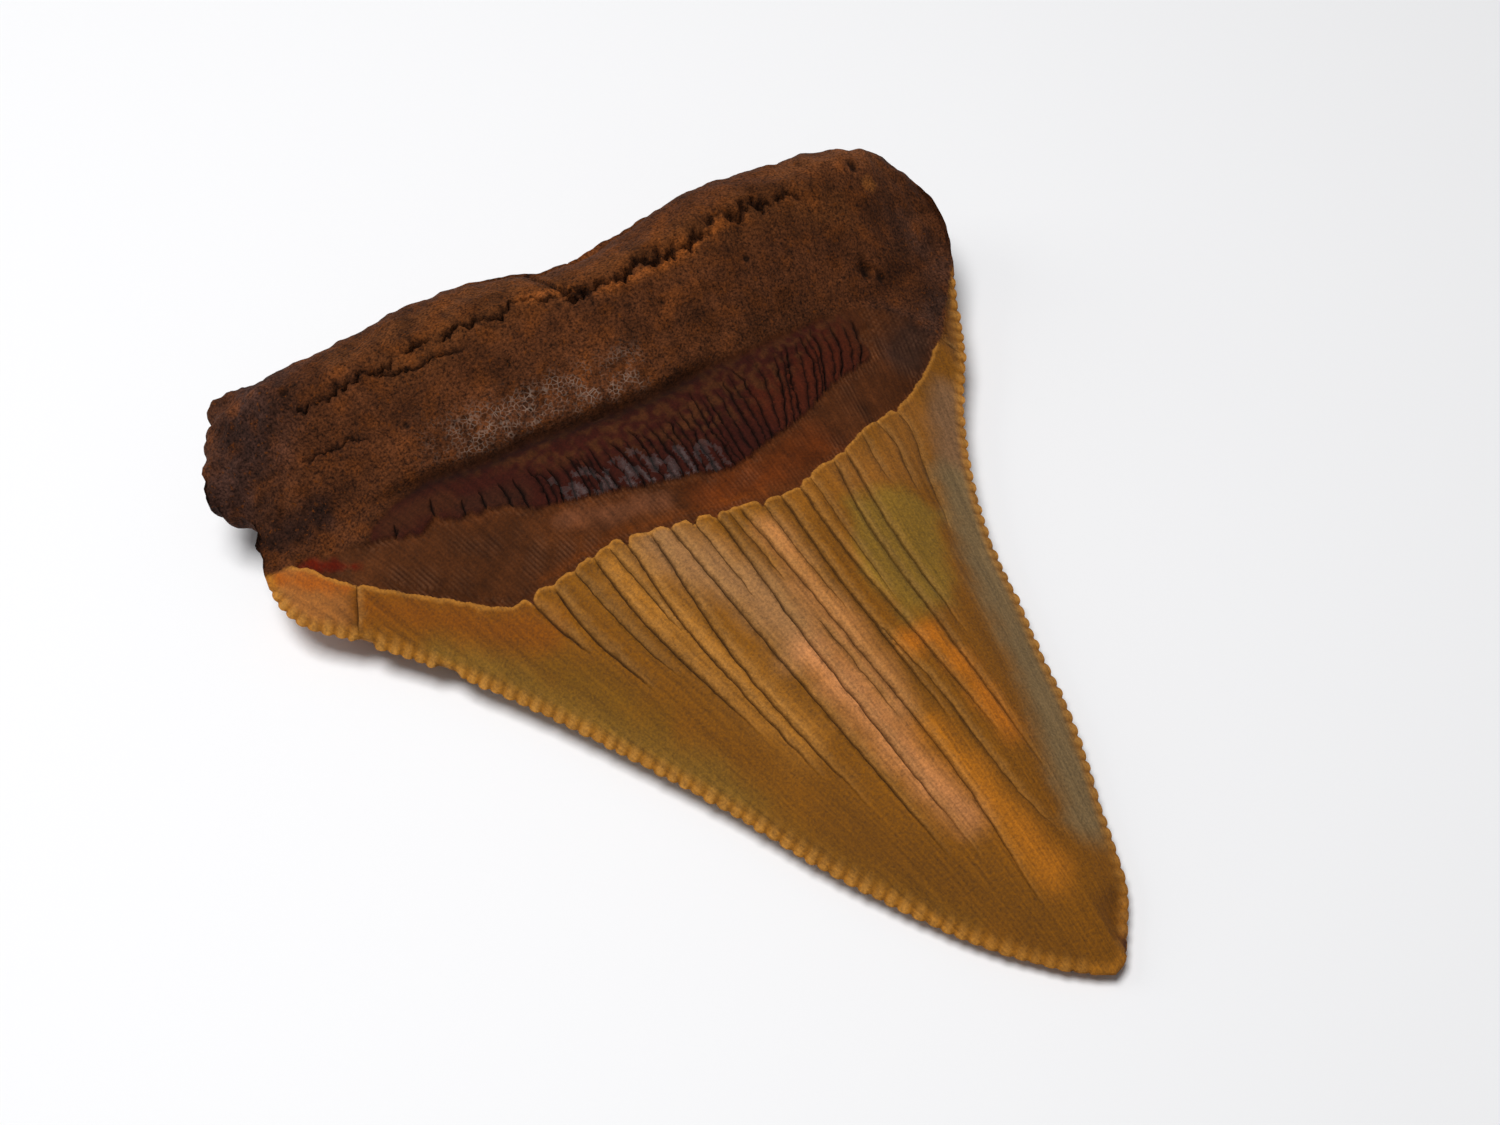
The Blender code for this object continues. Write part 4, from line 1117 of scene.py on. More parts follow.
@dataclass
class LabialFace:
    """The flat lower face: a smooth enamel crown, and the root curling up to its rim."""

    outline: Outline
    crown_curl: float = 6.5
    root_curl: float = 4.5
    arch_height: float = 1.5
    arch_width: float = 8.0
    # Where, up the tooth, the crown's curl gives way to the root's, and where the arch rises
    root_span: Span = (10.0, 10.0)
    arch_span: Span = (18.0, 8.0)
    step: float = 0.2
    enamel_fray: Grain = Grain(1.0, 0.15, 61.0)
    foam_cell: float = 0.6
    dents: Grain = Grain(1.6, 0.12, 65.0)
    grid: float = 0.46
    root_grid: float = 0.3
    seam_grid: float = 0.17
    enamel_line: Points = (
        (-25.0, 15.0), (-20.0, 13.5), (-12.0, 12.0), (-5.0, 10.8), (1.0, 10.4), (8.0, 11.5), (16.0, 14.0),
        (22.0, 16.5), (26.8, 19.0),
    )
    cracks: tuple[Points, ...] = (
        ((-9.0, 11.3), (-6.0, 2.0), (-1.0, -7.0)), ((12.0, 12.5), (12.5, 2.0), (13.5, -9.0)),
        ((1.2, 10.3), (2.4, 3.0), (5.0, -9.0), (7.2, -18.0)), ((-15.0, 12.5), (-13.2, 8.0), (-10.6, 3.4)),
        ((17.5, 14.6), (17.2, 9.0), (16.8, 4.0)), ((6.3, 11.2), (7.4, 5.0), (8.6, -2.0)),
    )

    def __post_init__(self) -> None:
        """Draw the line and open the cracks."""
        self.enamel_curve = smooth_curve(self.enamel_line)
        self.openings = [Crack(course, width=0.22, depth=0.16, shoulder=0.03) for course in self.cracks]

    def relief(self, points: np.ndarray) -> tuple[np.ndarray, Measures]:
        """Give the heights of the face and the measures that the colours need."""
        rim = self.outline
        x, y = points[:, 0], points[:, 1]
        half_width = 0.5 * (rim.edge_at(rim.right, y, 0) - rim.edge_at(rim.left, y, 0))
        inside = rim.inside(points)
        edge_height = np.interp(distance_along(points, rim.rim)[1], arc_lengths(rim.rim), rim.rim[:, 2])
        bony = ramp(y, *self.root_span)
        reach = np.minimum(self.crown_curl, 0.75 * np.maximum(half_width, 0.6))
        crown_curl = np.clip(1 - inside / reach, 0.0, 1.0)
        root_curl = np.clip(1 - inside / self.root_curl, 0.0, 1.0)
        curl = (1 - bony) * crown_curl ** 1.5 + bony * (1 - np.sqrt(1 - root_curl ** 2))
        arch = self.arch_height * hump(x - 1.0, self.arch_width) * ramp(y, *self.arch_span)
        past_enamel = above(points, self.enamel_curve) + self.enamel_fray.at(points)
        bone = ramp(past_enamel, 0.0, 0.25)
        foam = ramp(cells_at(points, self.foam_cell, 63.0), 0.2, 0.35)
        hollow = self.step * bone + bone * (0.07 * foam + np.abs(self.dents.at(points)))
        wear = Wear.none(len(points))
        for crack in self.openings:
            crack.cut(points, 1 - bone, wear)
        hollow += wear.depth
        ridge, edge = rim.ridges(points)
        fade = ramp(inside, 0.0, 1.2)
        height = np.minimum(edge_height * curl + (arch + hollow) * fade, edge_height)
        height -= 0.7 * rim.finger_height * ridge * (1 - bone) * ramp(inside, 0.0, 0.12)
        nothing = np.zeros(len(points))
        absent = ("band", "plate", "striae", "crumbly", "facet", "combed", "wet", "overhang")
        measures = dict.fromkeys(absent, nothing)
        measures.update(past_enamel=past_enamel, past_plates=nothing - 5, past_groove=nothing + 9,
                        past_bone=past_enamel, bony=bone, dark=wear.dark, bank=wear.bank, tone=wear.tone,
                        pore=foam * bone, ridge=ridge, edge=edge * (1 - bone))
        return np.maximum(height, 0.0), measures

    def layout(self, rows: np.ndarray) -> tuple[list[np.ndarray], np.ndarray]:
        """Lay the plan points of the face inside the rim, with the rows behind the rim among them."""
        keep_inside = self.outline.keep_inside
        seam = lattice((-28.0, 8.0), (30.0, 21.0), self.seam_grid)
        seam = keep_inside(seam[np.abs(above(seam, self.enamel_curve) - 0.1) < 0.4], 0.4)
        bone = lattice((-30.0, 9.0), (30.0, 32.0), self.root_grid)
        bone = keep_inside(bone[above(bone, self.enamel_curve) > 0.2], 0.4)
        crown = keep_inside(lattice((-30.0, -32.0), (30.0, 20.0), self.grid), 1.3)
        return self.outline.lay(self.openings, rows, [(seam, 0.11), (bone, 0.2), (crown, 0.3)], 0.5)


@dataclass
class Paint:
    """The colours of the fossil laid over its finishes, with painted highlights, sheen and shade among them.
    """

    enamel: Enamel = field(default_factory=Enamel)
    dentine: Dentine = field(default_factory=Dentine)
    plates: Plates = field(default_factory=Plates)
    bone: Bone = field(default_factory=Bone)
    stain_fray: tuple[Grain, ...] = (Grain(1.8, 0.5, 71.0), Grain(0.6, 0.25, 73.0))
    enamel_stains_and_painted_sheen: tuple[Stain, ...] = (
        Stain("#805a18", ((-17.5, 5.6), (-15.5, 3.8), (-11.5, -1.4), (-7.0, -7.4), (-3.4, -13.0)), 0.9, 2.0),
        Stain("#784e0c", ((-3.4, -13.0), (0.2, -18.6), (5.0, -24.8)), 0.7, 2.0, 0.8),
        Stain("#744d08", ((-11.4, 0.8), (-9.1, -2.1), (-6.6, -5.6)), 0.8, 2.2, 0.8),
        Stain("#724504", ((-0.2, -15.8), (1.8, -18.4), (5.6, -23.2), (8.7, -26.8)), 1.0, 2.4, 0.85),
        Stain("#834700", ((-21.6, 10.6), (-18.4, 8.6), (-14.0, 4.8), (-10.4, 2.4)), 0.9, 2.0),
        Stain("#9a5e26", ((-25.0, 14.0), (-22.6, 10.8)), 1.4, 1.2),
        Stain("#a0520a", ((-25.2, 14.6), (-23.3, 13.2), (-21.4, 11.4)), 0.5, 0.9),
        Stain("#aa6e24", ((-5.2, 3.2), (-2.9, -3.3), (-0.8, -8.2), (0.6, -11.4)), 1.0, 2.6, 0.85),
        # The next three: the crown's paler middle, partly the enamel's own colour and partly painted sheen
        Stain("#9e7044", ((-2.4, 3.4), (-0.7, 1.0), (2.0, -2.9), (2.7, -6.3)), 1.5, 2.6, 0.8),
        Stain("#cc8650", ((3.0, -7.0), (3.9, -9.6), (5.0, -13.1), (6.1, -16.2), (7.4, -19.6)),
              0.9, 2.6, 0.85),
        Stain("#bc7c44", ((4.2, 1.4), (5.5, -6.0), (6.7, -12.2)), 0.8, 2.2, 0.8),
        Stain("#b66c12", ((7.6, -14.6), (9.2, -19.0), (10.8, -24.4)), 1.0, 2.6, 0.8),
        Stain("#8e560e", ((7.0, 3.0), (10.0, 3.6)), 1.6, 3.0, 0.8),
        Stain("#90591a", ((11.6, 4.2), (15.4, 4.8), (18.6, 8.6)), 1.6, 2.6, 0.8),
        Stain("#846040", ((22.0, 9.6), (20.6, 6.0), (19.6, 2.6)), 1.4, 2.4, 0.9),
        Stain("#7e6642", ((19.2, 3.0), (17.8, -3.2), (17.0, -10.3), (15.6, -18.3), (14.8, -22.0)), 1.5, 2.4,
              0.95),
        Stain("#bc6a10", ((9.2, -8.8), (10.8, -8.6), (11.9, -11.2), (12.5, -15.6)), 0.8, 1.8, 0.8),
        Stain("#86661e", ((9.8, 2.2), (14.6, 3.0), (16.6, 0.6), (13.6, -6.6), (9.4, -7.6), (8.4, -3.2)),
              -0.2, 1.6, 0.8, True),
        Stain("#744604", ((7.6, -27.2), (9.4, -28.9), (11.4, -30.4)), 0.7, 2.2, 0.9),
        Stain("#6a4018", ((28.0, 20.0), (26.4, 16.6), (25.0, 13.4)), 0.7, 1.6, 0.85),
    )
    dentine_stains: tuple[Stain, ...] = (
        Stain("#4a2710", ((-22.0, 13.4), (-16.7, 9.7), (-11.0, 7.4)), 2.6, 3.0, 0.8),
        Stain("#6c4028", ((-7.4, 8.0), (-4.4, 6.9), (-1.0, 6.2)), 0.5, 1.2, 0.7),
        Stain("#602a08", ((2.0, 5.0), (7.4, 5.8), (11.0, 7.4)), 1.4, 2.4, 0.8),
        Stain("#4e2810", ((12.6, 8.4), (16.0, 10.8), (20.0, 13.2)), 1.6, 2.4, 0.8),
        Stain("#74380c", ((-10.0, 5.4), (-4.0, 5.3), (2.0, 4.4), (6.4, 4.1)), 0.15, 0.6, 0.5),
        Stain("#5a1202", ((-23.3, 14.8), (-21.8, 13.5), (-20.4, 12.6)), 0.45, 0.5, 0.95),
        Stain("#34221a", ((20.6, 13.4), (24.0, 16.4), (27.0, 20.0)), 1.6, 2.0, 0.8),
    )
    plate_stains: tuple[Stain, ...] = (
        Stain("#4c1d0c", ((9.0, 10.6), (12.0, 12.0), (17.0, 14.4)), 1.8, 2.6, 0.8),
        Stain("#382012", ((-12.4, 11.8), (-9.4, 10.8)), 0.7, 1.2, 0.5),
        Stain("#48250e", ((19.6, 12.4), (18.8, 16.8)), 2.0, 4.0, 0.95),
        Stain("#40200f", ((-17.4, 13.4), (-13.6, 13.0)), 0.8, 1.4, 0.8),
    )
    bone_stains: tuple[Stain, ...] = (
        Stain("#5a3213", ((-13.0, 21.6), (-4.0, 22.4), (6.0, 22.0), (13.0, 23.6), (20.0, 23.6)),
              1.2, 3.4, 0.6),
        Stain("#5c3416", ((-16.0, 24.6), (-8.0, 24.4), (-3.0, 24.6)), 1.2, 2.6, 0.6),
        Stain("#86481a", ((0.4, 20.4), (3.4, 20.8), (6.8, 21.3), (9.6, 22.4), (12.0, 23.2)), 0.2, 1.0, 0.8),
        Stain("#82461a", ((-4.6, 22.0), (-2.4, 21.9), (-0.6, 21.3)), 0.2, 0.7, 0.6),
        Stain("#3a2620", ((-27.0, 21.0), (-23.4, 23.3), (-22.0, 26.9)), 2.6, 4.6, 0.85),
        Stain("#3a251c", ((27.4, 19.4), (25.7, 22.6)), 1.6, 3.0, 0.7),
        Stain("#2c1a14", ((-25.6, 17.6), (-21.0, 16.6)), 1.0, 1.6, 0.8),
        Stain("#38251d", ((20.6, 16.6), (23.2, 15.4), (25.6, 17.4)), 1.0, 2.0, 0.8),
        Stain("#8a5424", ((23.2, 24.9), (23.6, 25.4)), 0.3, 0.6, 0.8),
        Stain("#6a3e20", ((17.0, 26.8), (21.0, 27.6), (24.4, 27.6)), 1.2, 3.0, 0.6),
    )

    def layer(self, base: str, stains: tuple[Stain, ...], points: np.ndarray) -> np.ndarray:
        """Give a finish's colours with its stains laid over them."""
        fray = grains_at(points, self.stain_fray)
        tint = np.tile(srgb_to_linear(base), (len(points), 1))
        for stain in stains:
            tint = stain.paint(points, tint, fray)
        return tint

    @staticmethod
    def blend(tint: np.ndarray, colour: str, share: np.ndarray) -> np.ndarray:
        """Mix a colour into the tints by a share at each point."""
        return tint + np.asarray(share)[:, None] * (srgb_to_linear(colour) - tint)

    def enamel_colours(self, points: np.ndarray, at: Measures) -> np.ndarray:
        """Colour enamel, with paler fingers and a red break at the tip, painted highlights along its edge by
        the dentine, on the fingers' tops and on one bank of each crack, and painted shade in the notches
        between the fingers.
        """
        finish = self.enamel
        tint = self.layer(finish.colour, self.enamel_stains_and_painted_sheen, points) * (1 + at["tone"])[:, None]
        # Painted highlight on one bank of each crack
        tint = self.blend(tint, finish.bank, 0.4 * at["bank"])
        # Painted highlight along the enamel's edge by the dentine
        tint = self.blend(tint, finish.lip, 0.6 * ramp(at["past_enamel"], -0.3, 0.2))
        tint = self.blend(tint, finish.finger, 0.7 * smoothstep(1.5 * at["edge"] - 0.3))
        # Painted highlight on the fingers' tops and painted shade in the notches between them
        tint = self.blend(tint, finish.painted_finger_highlight, np.clip(1.2 * at["ridge"], 0.0, 0.42))
        tint = self.blend(tint, finish.notch, np.clip(-1.5 * at["ridge"], 0.0, 0.55))
        low = 0.2 + 0.8 * ramp(points[:, 1], -28.6, -1.2)
        return self.blend(tint, finish.broken, low * smoothstep(3 * at["facet"]))

    def dentine_colours(self, points: np.ndarray, at: Measures) -> np.ndarray:
        """Colour dentine, darker in its furrows and in blotches, with a painted glint on the striae's
        crests.
        """
        finish = self.dentine
        tint = self.layer(finish.colour, self.dentine_stains, points)
        drawn = at["striae"] * (0.35 + 0.65 * smoothstep(0.5 + finish.drawn.at(points)))
        tint = self.blend(tint, finish.furrow, np.clip(-0.6 * drawn, 0.0, 0.5))
        # Painted glint on the striae's crests
        tint = self.blend(tint, finish.ridge, np.clip(0.3 * drawn, 0.0, 0.3))
        return tint * (1 + grains_at(points, finish.blotches))[:, None]

    def plate_colours(self, points: np.ndarray, at: Measures) -> np.ndarray:
        """Colour the plates, brown in specks where they crumble."""
        tint = self.layer(self.plates.colour, self.plate_stains, points)
        mottle = smoothstep(0.4 + self.plates.mottle.at(points))
        return self.blend(tint, self.plates.crumb, 0.8 * at["crumbly"] * mottle)

    def bone_colours(self, points: np.ndarray, at: Measures) -> np.ndarray:
        """Colour bone, mottled and rusty, with dark pores and combed striae below its lip."""
        finish = self.bone
        tint = self.layer(finish.colour, self.bone_stains, points)
        tint = self.blend(tint, finish.rust, 0.4 * smoothstep(0.1 + finish.rusting.at(points)))
        tint *= (1 + grains_at(points, finish.mottle))[:, None]
        tint = self.blend(tint, finish.pore, 0.55 * at["pore"])
        return self.blend(tint, self.dentine.furrow, np.clip(-0.7 * at["striae"] * at["combed"], 0.0, 0.5))

    def colours(self, points: np.ndarray, at: Measures) -> np.ndarray:
        """Colour the points of a face.

        Args:
            points: The points, with their heights.
            at: The face's measures at them.

        Returns:
            The linear colours.
        """
        bony, band = at["bony"], at["band"]
        tint = self.enamel_colours(points, at)
        tint += (self.dentine_colours(points, at) - tint) * ramp(at["past_enamel"], 0.0, 0.1)[:, None]
        tint += (self.plate_colours(points, at) - tint) * (at["plate"] * (at["past_enamel"] > 0))[:, None]
        tint += (self.bone_colours(points, at) - tint) * bony[:, None]
        # Painted shadow under the root's overhanging lip
        painted_lip_shadow = hump(at["past_groove"] + 0.3, 0.6)
        tint = self.blend(tint, self.bone.lip, 0.7 * painted_lip_shadow * at["overhang"])
        tint = self.blend(tint, self.enamel.crack, 0.75 * at["dark"] * (1 - bony) * (1 - band))
        tint = self.blend(tint, self.plates.crack, 0.85 * at["dark"] * band)
        # The bone's cracks take the same dark as the painted shadow under the lip
        return self.blend(tint, self.bone.lip, 0.75 * at["dark"] * bony)

    def roughness(self, at: Measures, lace: np.ndarray) -> np.ndarray:
        """Give how rough the surface is at each point of a face."""
        rough = self.enamel.roughness + (self.dentine.roughness - self.enamel.roughness) * at["band"]
        rough += (self.plates.roughness - rough) * at["plate"]
        rough += (self.plates.wet_roughness - rough) * smoothstep(2 * at["wet"] - 1)
        rough += (self.bone.roughness - rough) * at["bony"]
        rough += (self.bone.lace_roughness - rough) * 0.9 * lace * (1 - at["pore"])
        return rough + (0.9 - rough) * np.clip(at["dark"], 0.0, 1.0)

    @staticmethod
    def surface(at: Measures) -> np.ndarray:
        """Give which of the tooth's surfaces each point has: 0 enamel, 1 bone and dentine, 2 wet plates."""
        bare = np.maximum(at["bony"], ramp(at["past_enamel"], 0.0, 0.1))
        return np.where(at["wet"] * (1 - at["bony"]) > 0.45, 2.0, np.where(bare > 0.5, 1.0, 0.0))


@dataclass(frozen=True)
class Surface:
    """One surface of the tooth: its material's name, how strongly it mirrors and the height of its grain."""

    name: str
    specular: float
    bump: float


def add_node(tree: bpy.types.NodeTree, kind: str, settings: dict | None = None,
             links: dict | None = None) -> bpy.types.Node:
    """Add a node to a material.

    Args:
        tree: The material's node tree.
        kind: The node's type name.
        settings: Its properties by name, and its inputs' values by name or number.
        links: What each input, by name or number, is fed by.

    Returns:
        The new node.
    """
    node = tree.nodes.new(kind)
    for name, value in (settings or {}).items():
        if isinstance(name, str) and hasattr(node, name):
            setattr(node, name, value)
        else:
            node.inputs[name].default_value = value
    for name, socket in (links or {}).items():
        tree.links.new(socket, node.inputs[name])
    return node


@dataclass
class FossilTooth:
    """The whole tooth as one closed mesh, with a material for each kind of surface."""

    outline: Outline = field(default_factory=Outline)
    paint: Paint = field(default_factory=Paint)
    # The eye sees satin grainy enamel, matt porous bone, and plates that glisten as if wet
    surfaces: tuple[Surface, ...] = (
        Surface("river_stained_fossil_enamel", 0.25, 0.04),
        Surface("porous_fossil_bone_and_dentine", 0.12, 0.035),
        Surface("glossy_fossil_dentine_plates", 0.6, 0.12),
    )
    crease_angle: float = 62.0
    # Streaks per mm across the strands and along them, and the cells of the lacy bone in mm
    streak_scale: tuple[float, float, float] = (2.8, 0.16, 1.0)
    lace_cell: float = 0.32
    coarse_grain: float = 0.9
    streak_bump: float = 0.035
    coarse_bump: float = 0.02

    def build(self) -> bpy.types.Object:
        """Build the tooth and dress it.

        Returns:
            The finished piece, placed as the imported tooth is.
        """
        lingual, labial = LingualFace(self.outline), LabialFace(self.outline)
        rim, rows = self.outline.points()
        upper = self.sheet("lingual_sheet", rim, lingual.layout(rows), lingual)
        lower = self.sheet("labial_sheet", rim, labial.layout(rows), labial)
        piece = self.join(upper, lower)
        self.settle(piece)
        for surface in self.surfaces:
            piece.data.materials.append(self.material(surface))
        self.assign(piece.data)
        return piece

    @staticmethod
    def assign(mesh: bpy.types.Mesh) -> None:
        """Give each triangle the material that most of its corners ask for."""
        kinds = np.empty(len(mesh.vertices))
        mesh.attributes[Mark.SURFACE.value].data.foreach_get("value", kinds)
        corners = np.empty(len(mesh.loops), int)
        mesh.loops.foreach_get("vertex_index", corners)
        chosen = np.median(kinds[corners.reshape(-1, 3)], axis=1).round().astype(np.int32)
        mesh.polygons.foreach_set("material_index", chosen)
        mesh.attributes.remove(mesh.attributes[Mark.SURFACE.value])

    def sheet(self, name: str, rim: np.ndarray, layout: tuple[list[np.ndarray], np.ndarray],
              face: LingualFace | LabialFace) -> bpy.types.Object:
        """Raise one face of the tooth over its plan.

        Args:
            name: The sheet's name.
            rim: The shared rim.
            layout: The lines and the loose points inside it.
            face: The face that gives heights and measures.

        Returns:
            The sheet as an object.
        """
        lines, loose = layout
        loose = apart(loose, rim, 0.07)
        coords = [Vector(point) for point in rim[:, :2]]
        edges = [(index, (index + 1) % len(rim)) for index in range(len(rim))]
        for line in lines:
            first = len(coords)
            coords += [Vector(point) for point in line]
            edges += [(first + index, first + index + 1) for index in range(len(line) - 1)
                      if np.linalg.norm(line[index + 1] - line[index]) < 1.0]
        coords += [Vector(point) for point in loose]
        places, _, faces, origins, _, _ = delaunay_2d_cdt(coords, edges, [], 1, MERGE_GAP)
        plan = np.array([tuple(place) for place in places])
        heights, measures = face.relief(plan)
        spots = np.column_stack([plan, heights])
        for number, sources in enumerate(origins):
            rims = [source for source in sources if source < len(rim)]
            if rims:
                plan[number], heights[number] = rim[rims[0], :2], rim[rims[0], 2]
        if isinstance(face, LabialFace):
            faces = [corners[::-1] for corners in faces]
        mesh = bpy.data.meshes.new(name)
        mesh.from_pydata(np.column_stack([plan, heights]).tolist(), [], faces)
        self.mark(mesh, spots, measures, face)
        sheet = bpy.data.objects.new(name, mesh)
        bpy.context.scene.collection.objects.link(sheet)
        log.info("%s: %d points, %d faces", name, len(mesh.vertices), len(mesh.polygons))
        return sheet

    def mark(self, mesh: bpy.types.Mesh, spots: np.ndarray, at: Measures,
             face: LingualFace | LabialFace) -> None:
        """Store what the material reads at each point of a sheet.

        Args:
            mesh: The sheet's mesh.
            spots: Its points, with their heights.
            at: The face's measures at them.
            face: The face that the sheet is of.
        """
        plan = spots[:, :2]
        upper = isinstance(face, LingualFace)
        lace = face.lace(plan, at["past_groove"]) * at["bony"] if upper else np.zeros(len(plan))
        strand = face.strand(plan) if upper else plan[:, 0]
        values = {
            Mark.ROUGHNESS: self.paint.roughness(at, lace),
            Mark.BONE: at["bony"],
            Mark.LACE: lace,
            Mark.SURFACE: self.paint.surface(at),
        }
        for mark, value in values.items():
            layer = mesh.attributes.new(mark.value, "FLOAT", "POINT")
            layer.data.foreach_set("value", value.astype(np.float32))
        flow = np.column_stack([strand, plan[:, 1], np.zeros(len(plan))]).astype(np.float32)
        layer = mesh.attributes.new(Mark.FLOW.value, "FLOAT_VECTOR", "POINT")
        layer.data.foreach_set("vector", flow.ravel())
        tint = np.column_stack([self.paint.colours(spots, at), np.ones(len(spots))]).astype(np.float32)
        layer = mesh.attributes.new(Mark.TINT.value, "FLOAT_COLOR", "POINT")
        layer.data.foreach_set("color", tint.ravel())

    def join(self, upper: bpy.types.Object, lower: bpy.types.Object) -> bpy.types.Object:
        """Join the two sheets, weld them along the rim and finish the mesh.

        Args:
            upper: The lingual sheet.
            lower: The labial sheet.

        Returns:
            The closed tooth.
        """
        bpy.ops.object.select_all(action="DESELECT")
        upper.select_set(True)
        lower.select_set(True)
        bpy.context.view_layer.objects.active = upper
        bpy.ops.object.join()
        bpy.ops.object.mode_set(mode="EDIT")
        bpy.ops.mesh.select_all(action="SELECT")
        bpy.ops.mesh.remove_doubles(threshold=WELD_GAP)
        bpy.ops.mesh.quads_convert_to_tris()
        bpy.ops.mesh.normals_make_consistent(inside=False)
        bpy.ops.object.mode_set(mode="OBJECT")
        upper.name = "fossil_tooth"
        upper.data.name = "fossil_tooth"
        bpy.ops.object.shade_smooth_by_angle(angle=math.radians(self.crease_angle))
        return upper

    def settle(self, piece: bpy.types.Object) -> None:
        """Bring the mesh from mm on the design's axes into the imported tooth's place, inside its box."""
        mesh = piece.data
        places = np.empty(3 * len(mesh.vertices))
        mesh.vertices.foreach_get("co", places)
        places = places.reshape(-1, 3) * MM
        low, high = np.array(CAD_LOW), np.array(CAD_HIGH)
        shift = (low + high) / 2 - (places.min(axis=0) + places.max(axis=0)) / 2
        shift[1] = high[1] - places[:, 1].max()
        shift[2] = low[2] - places[:, 2].min()
        log.info("shift in mm: %s, size in mm: %s", shift / MM, np.ptp(places, axis=0) / MM)
        places = np.clip(places + shift, low, high)
        mesh.vertices.foreach_set("co", places.astype(np.float32).ravel())
        mesh.update()

    def material(self, surface: Surface) -> bpy.types.Material:
        """Make the material of one surface of the fossil.

        Args:
            surface: Its name, how strongly it mirrors light and the height of its grain.

        Returns:
            The material.
        """
        material = bpy.data.materials.new(surface.name)
        material.use_nodes = True
        tree = material.node_tree
        tree.nodes.clear()
        reads = {mark: add_node(tree, "ShaderNodeAttribute", {"attribute_name": mark.value})
                 for mark in Mark if mark is not Mark.SURFACE}
        value = {mark: node.outputs["Fac"] for mark, node in reads.items()}
        space = add_node(tree, "ShaderNodeTexCoord").outputs["Object"]
        fine = self.pattern(tree, space, self.paint.enamel.grain)
        coarse = self.pattern(tree, space, self.coarse_grain)
        pores = self.pattern(tree, space, self.paint.bone.grain)
        streaks = self.streaks(tree, reads[Mark.FLOW].outputs["Vector"])
        lace = self.lace(tree, space, value[Mark.LACE], coarse)
        colour = self.colour(tree, reads[Mark.TINT].outputs["Color"], value, fine, pores, streaks, lace)
        rough = add_node(tree, "ShaderNodeMath", {"operation": "MULTIPLY_ADD", 1: 0.35}, {0: fine})
        rough = add_node(tree, "ShaderNodeMath", {"operation": "ADD", 1: -0.18}, {0: rough.outputs[0]})
        rough = add_node(tree, "ShaderNodeMath", {"operation": "ADD", "use_clamp": True},
                         {0: rough.outputs[0], 1: value[Mark.ROUGHNESS]})
        bump = self.bump(tree, value, surface, fine, coarse, pores, streaks)
        shader = add_node(tree, "ShaderNodeBsdfPrincipled",
                          {"IOR": 1.55, "Metallic": 0.0, "Specular IOR Level": surface.specular},
                          {"Base Color": colour, "Roughness": rough.outputs[0], "Normal": bump})
        add_node(tree, "ShaderNodeOutputMaterial", links={"Surface": shader.outputs[0]})
        return material

    @staticmethod
    def pattern(tree: bpy.types.NodeTree, space: bpy.types.NodeSocket, size: float) -> bpy.types.NodeSocket:
        """Add noise whose lumps are a size in mm, and give its value."""
        return add_node(tree, "ShaderNodeTexNoise",
                        {"Scale": 1 / (size * MM), "Detail": 3.0, "Roughness": 0.6},
                        {"Vector": space}).outputs["Fac"]

    def streaks(self, tree: bpy.types.NodeTree, flow: bpy.types.NodeSocket) -> bpy.types.NodeSocket:
        """Add fine streaks along the strands of growth, a third of a mm apart and some mm long."""
        stretched = add_node(tree, "ShaderNodeMapping", {"Scale": self.streak_scale}, {"Vector": flow})
        return add_node(tree, "ShaderNodeTexNoise", {"Scale": 1.0, "Detail": 2.0},
                        {"Vector": stretched.outputs[0]}).outputs["Fac"]

    @staticmethod
    def colour(tree: bpy.types.NodeTree, tint: bpy.types.NodeSocket, value: dict, fine: bpy.types.NodeSocket,
               pores: bpy.types.NodeSocket, streaks: bpy.types.NodeSocket,
               lace: bpy.types.NodeSocket) -> bpy.types.NodeSocket:
        """Break the tint up with grain, streaks, rusty specks and a painted glint on the lace.

        Args:
            tree: The material's node tree.
            tint: The stained colour.
            value: What each mark says at a point.
            fine: The enamel's grain.
            pores: The bone's grain.
            streaks: The streaks along the strands.
            lace: How much of the painted glint on the lace's walls shows.

        Returns:
            The colour.
        """
        strength = add_node(tree, "ShaderNodeMath", {"operation": "MULTIPLY_ADD", 1: 2.6, 2: 1.5},
                            {0: value[Mark.BONE]})
        grain = add_node(tree, "ShaderNodeMath", {"operation": "SUBTRACT", 1: 0.5}, {0: fine})
        grain = add_node(tree, "ShaderNodeMath", {"operation": "MULTIPLY"},
                         {0: grain.outputs[0], 1: strength.outputs[0]})
        drawn = add_node(tree, "ShaderNodeMapRange", {"From Min": 0.3, "From Max": 0.7, "To Min": 0.8,
                                                      "To Max": 1.2}, {"Value": streaks})
        both = add_node(tree, "ShaderNodeMath", {"operation": "ADD"},
                        {0: grain.outputs[0], 1: drawn.outputs[0]})
        both = add_node(tree, "ShaderNodeMath", {"operation": "MAXIMUM", 1: 0.25}, {0: both.outputs[0]})
        scaled = add_node(tree, "ShaderNodeVectorMath", {"operation": "SCALE"},
                          {0: tint, "Scale": both.outputs[0]})
        speck = add_node(tree, "ShaderNodeMapRange", {"From Min": 0.6, "From Max": 0.72}, {"Value": pores})
        rusty = add_node(tree, "ShaderNodeMath", {"operation": "MULTIPLY"},
                         {0: speck.outputs[0], 1: value[Mark.BONE]})
        rust = tuple(srgb_to_linear(Bone.rust)) + (1.0,)
        mixed = add_node(tree, "ShaderNodeMix", {"data_type": "RGBA", 7: rust},
                         {0: rusty.outputs[0], 6: scaled.outputs[0]})
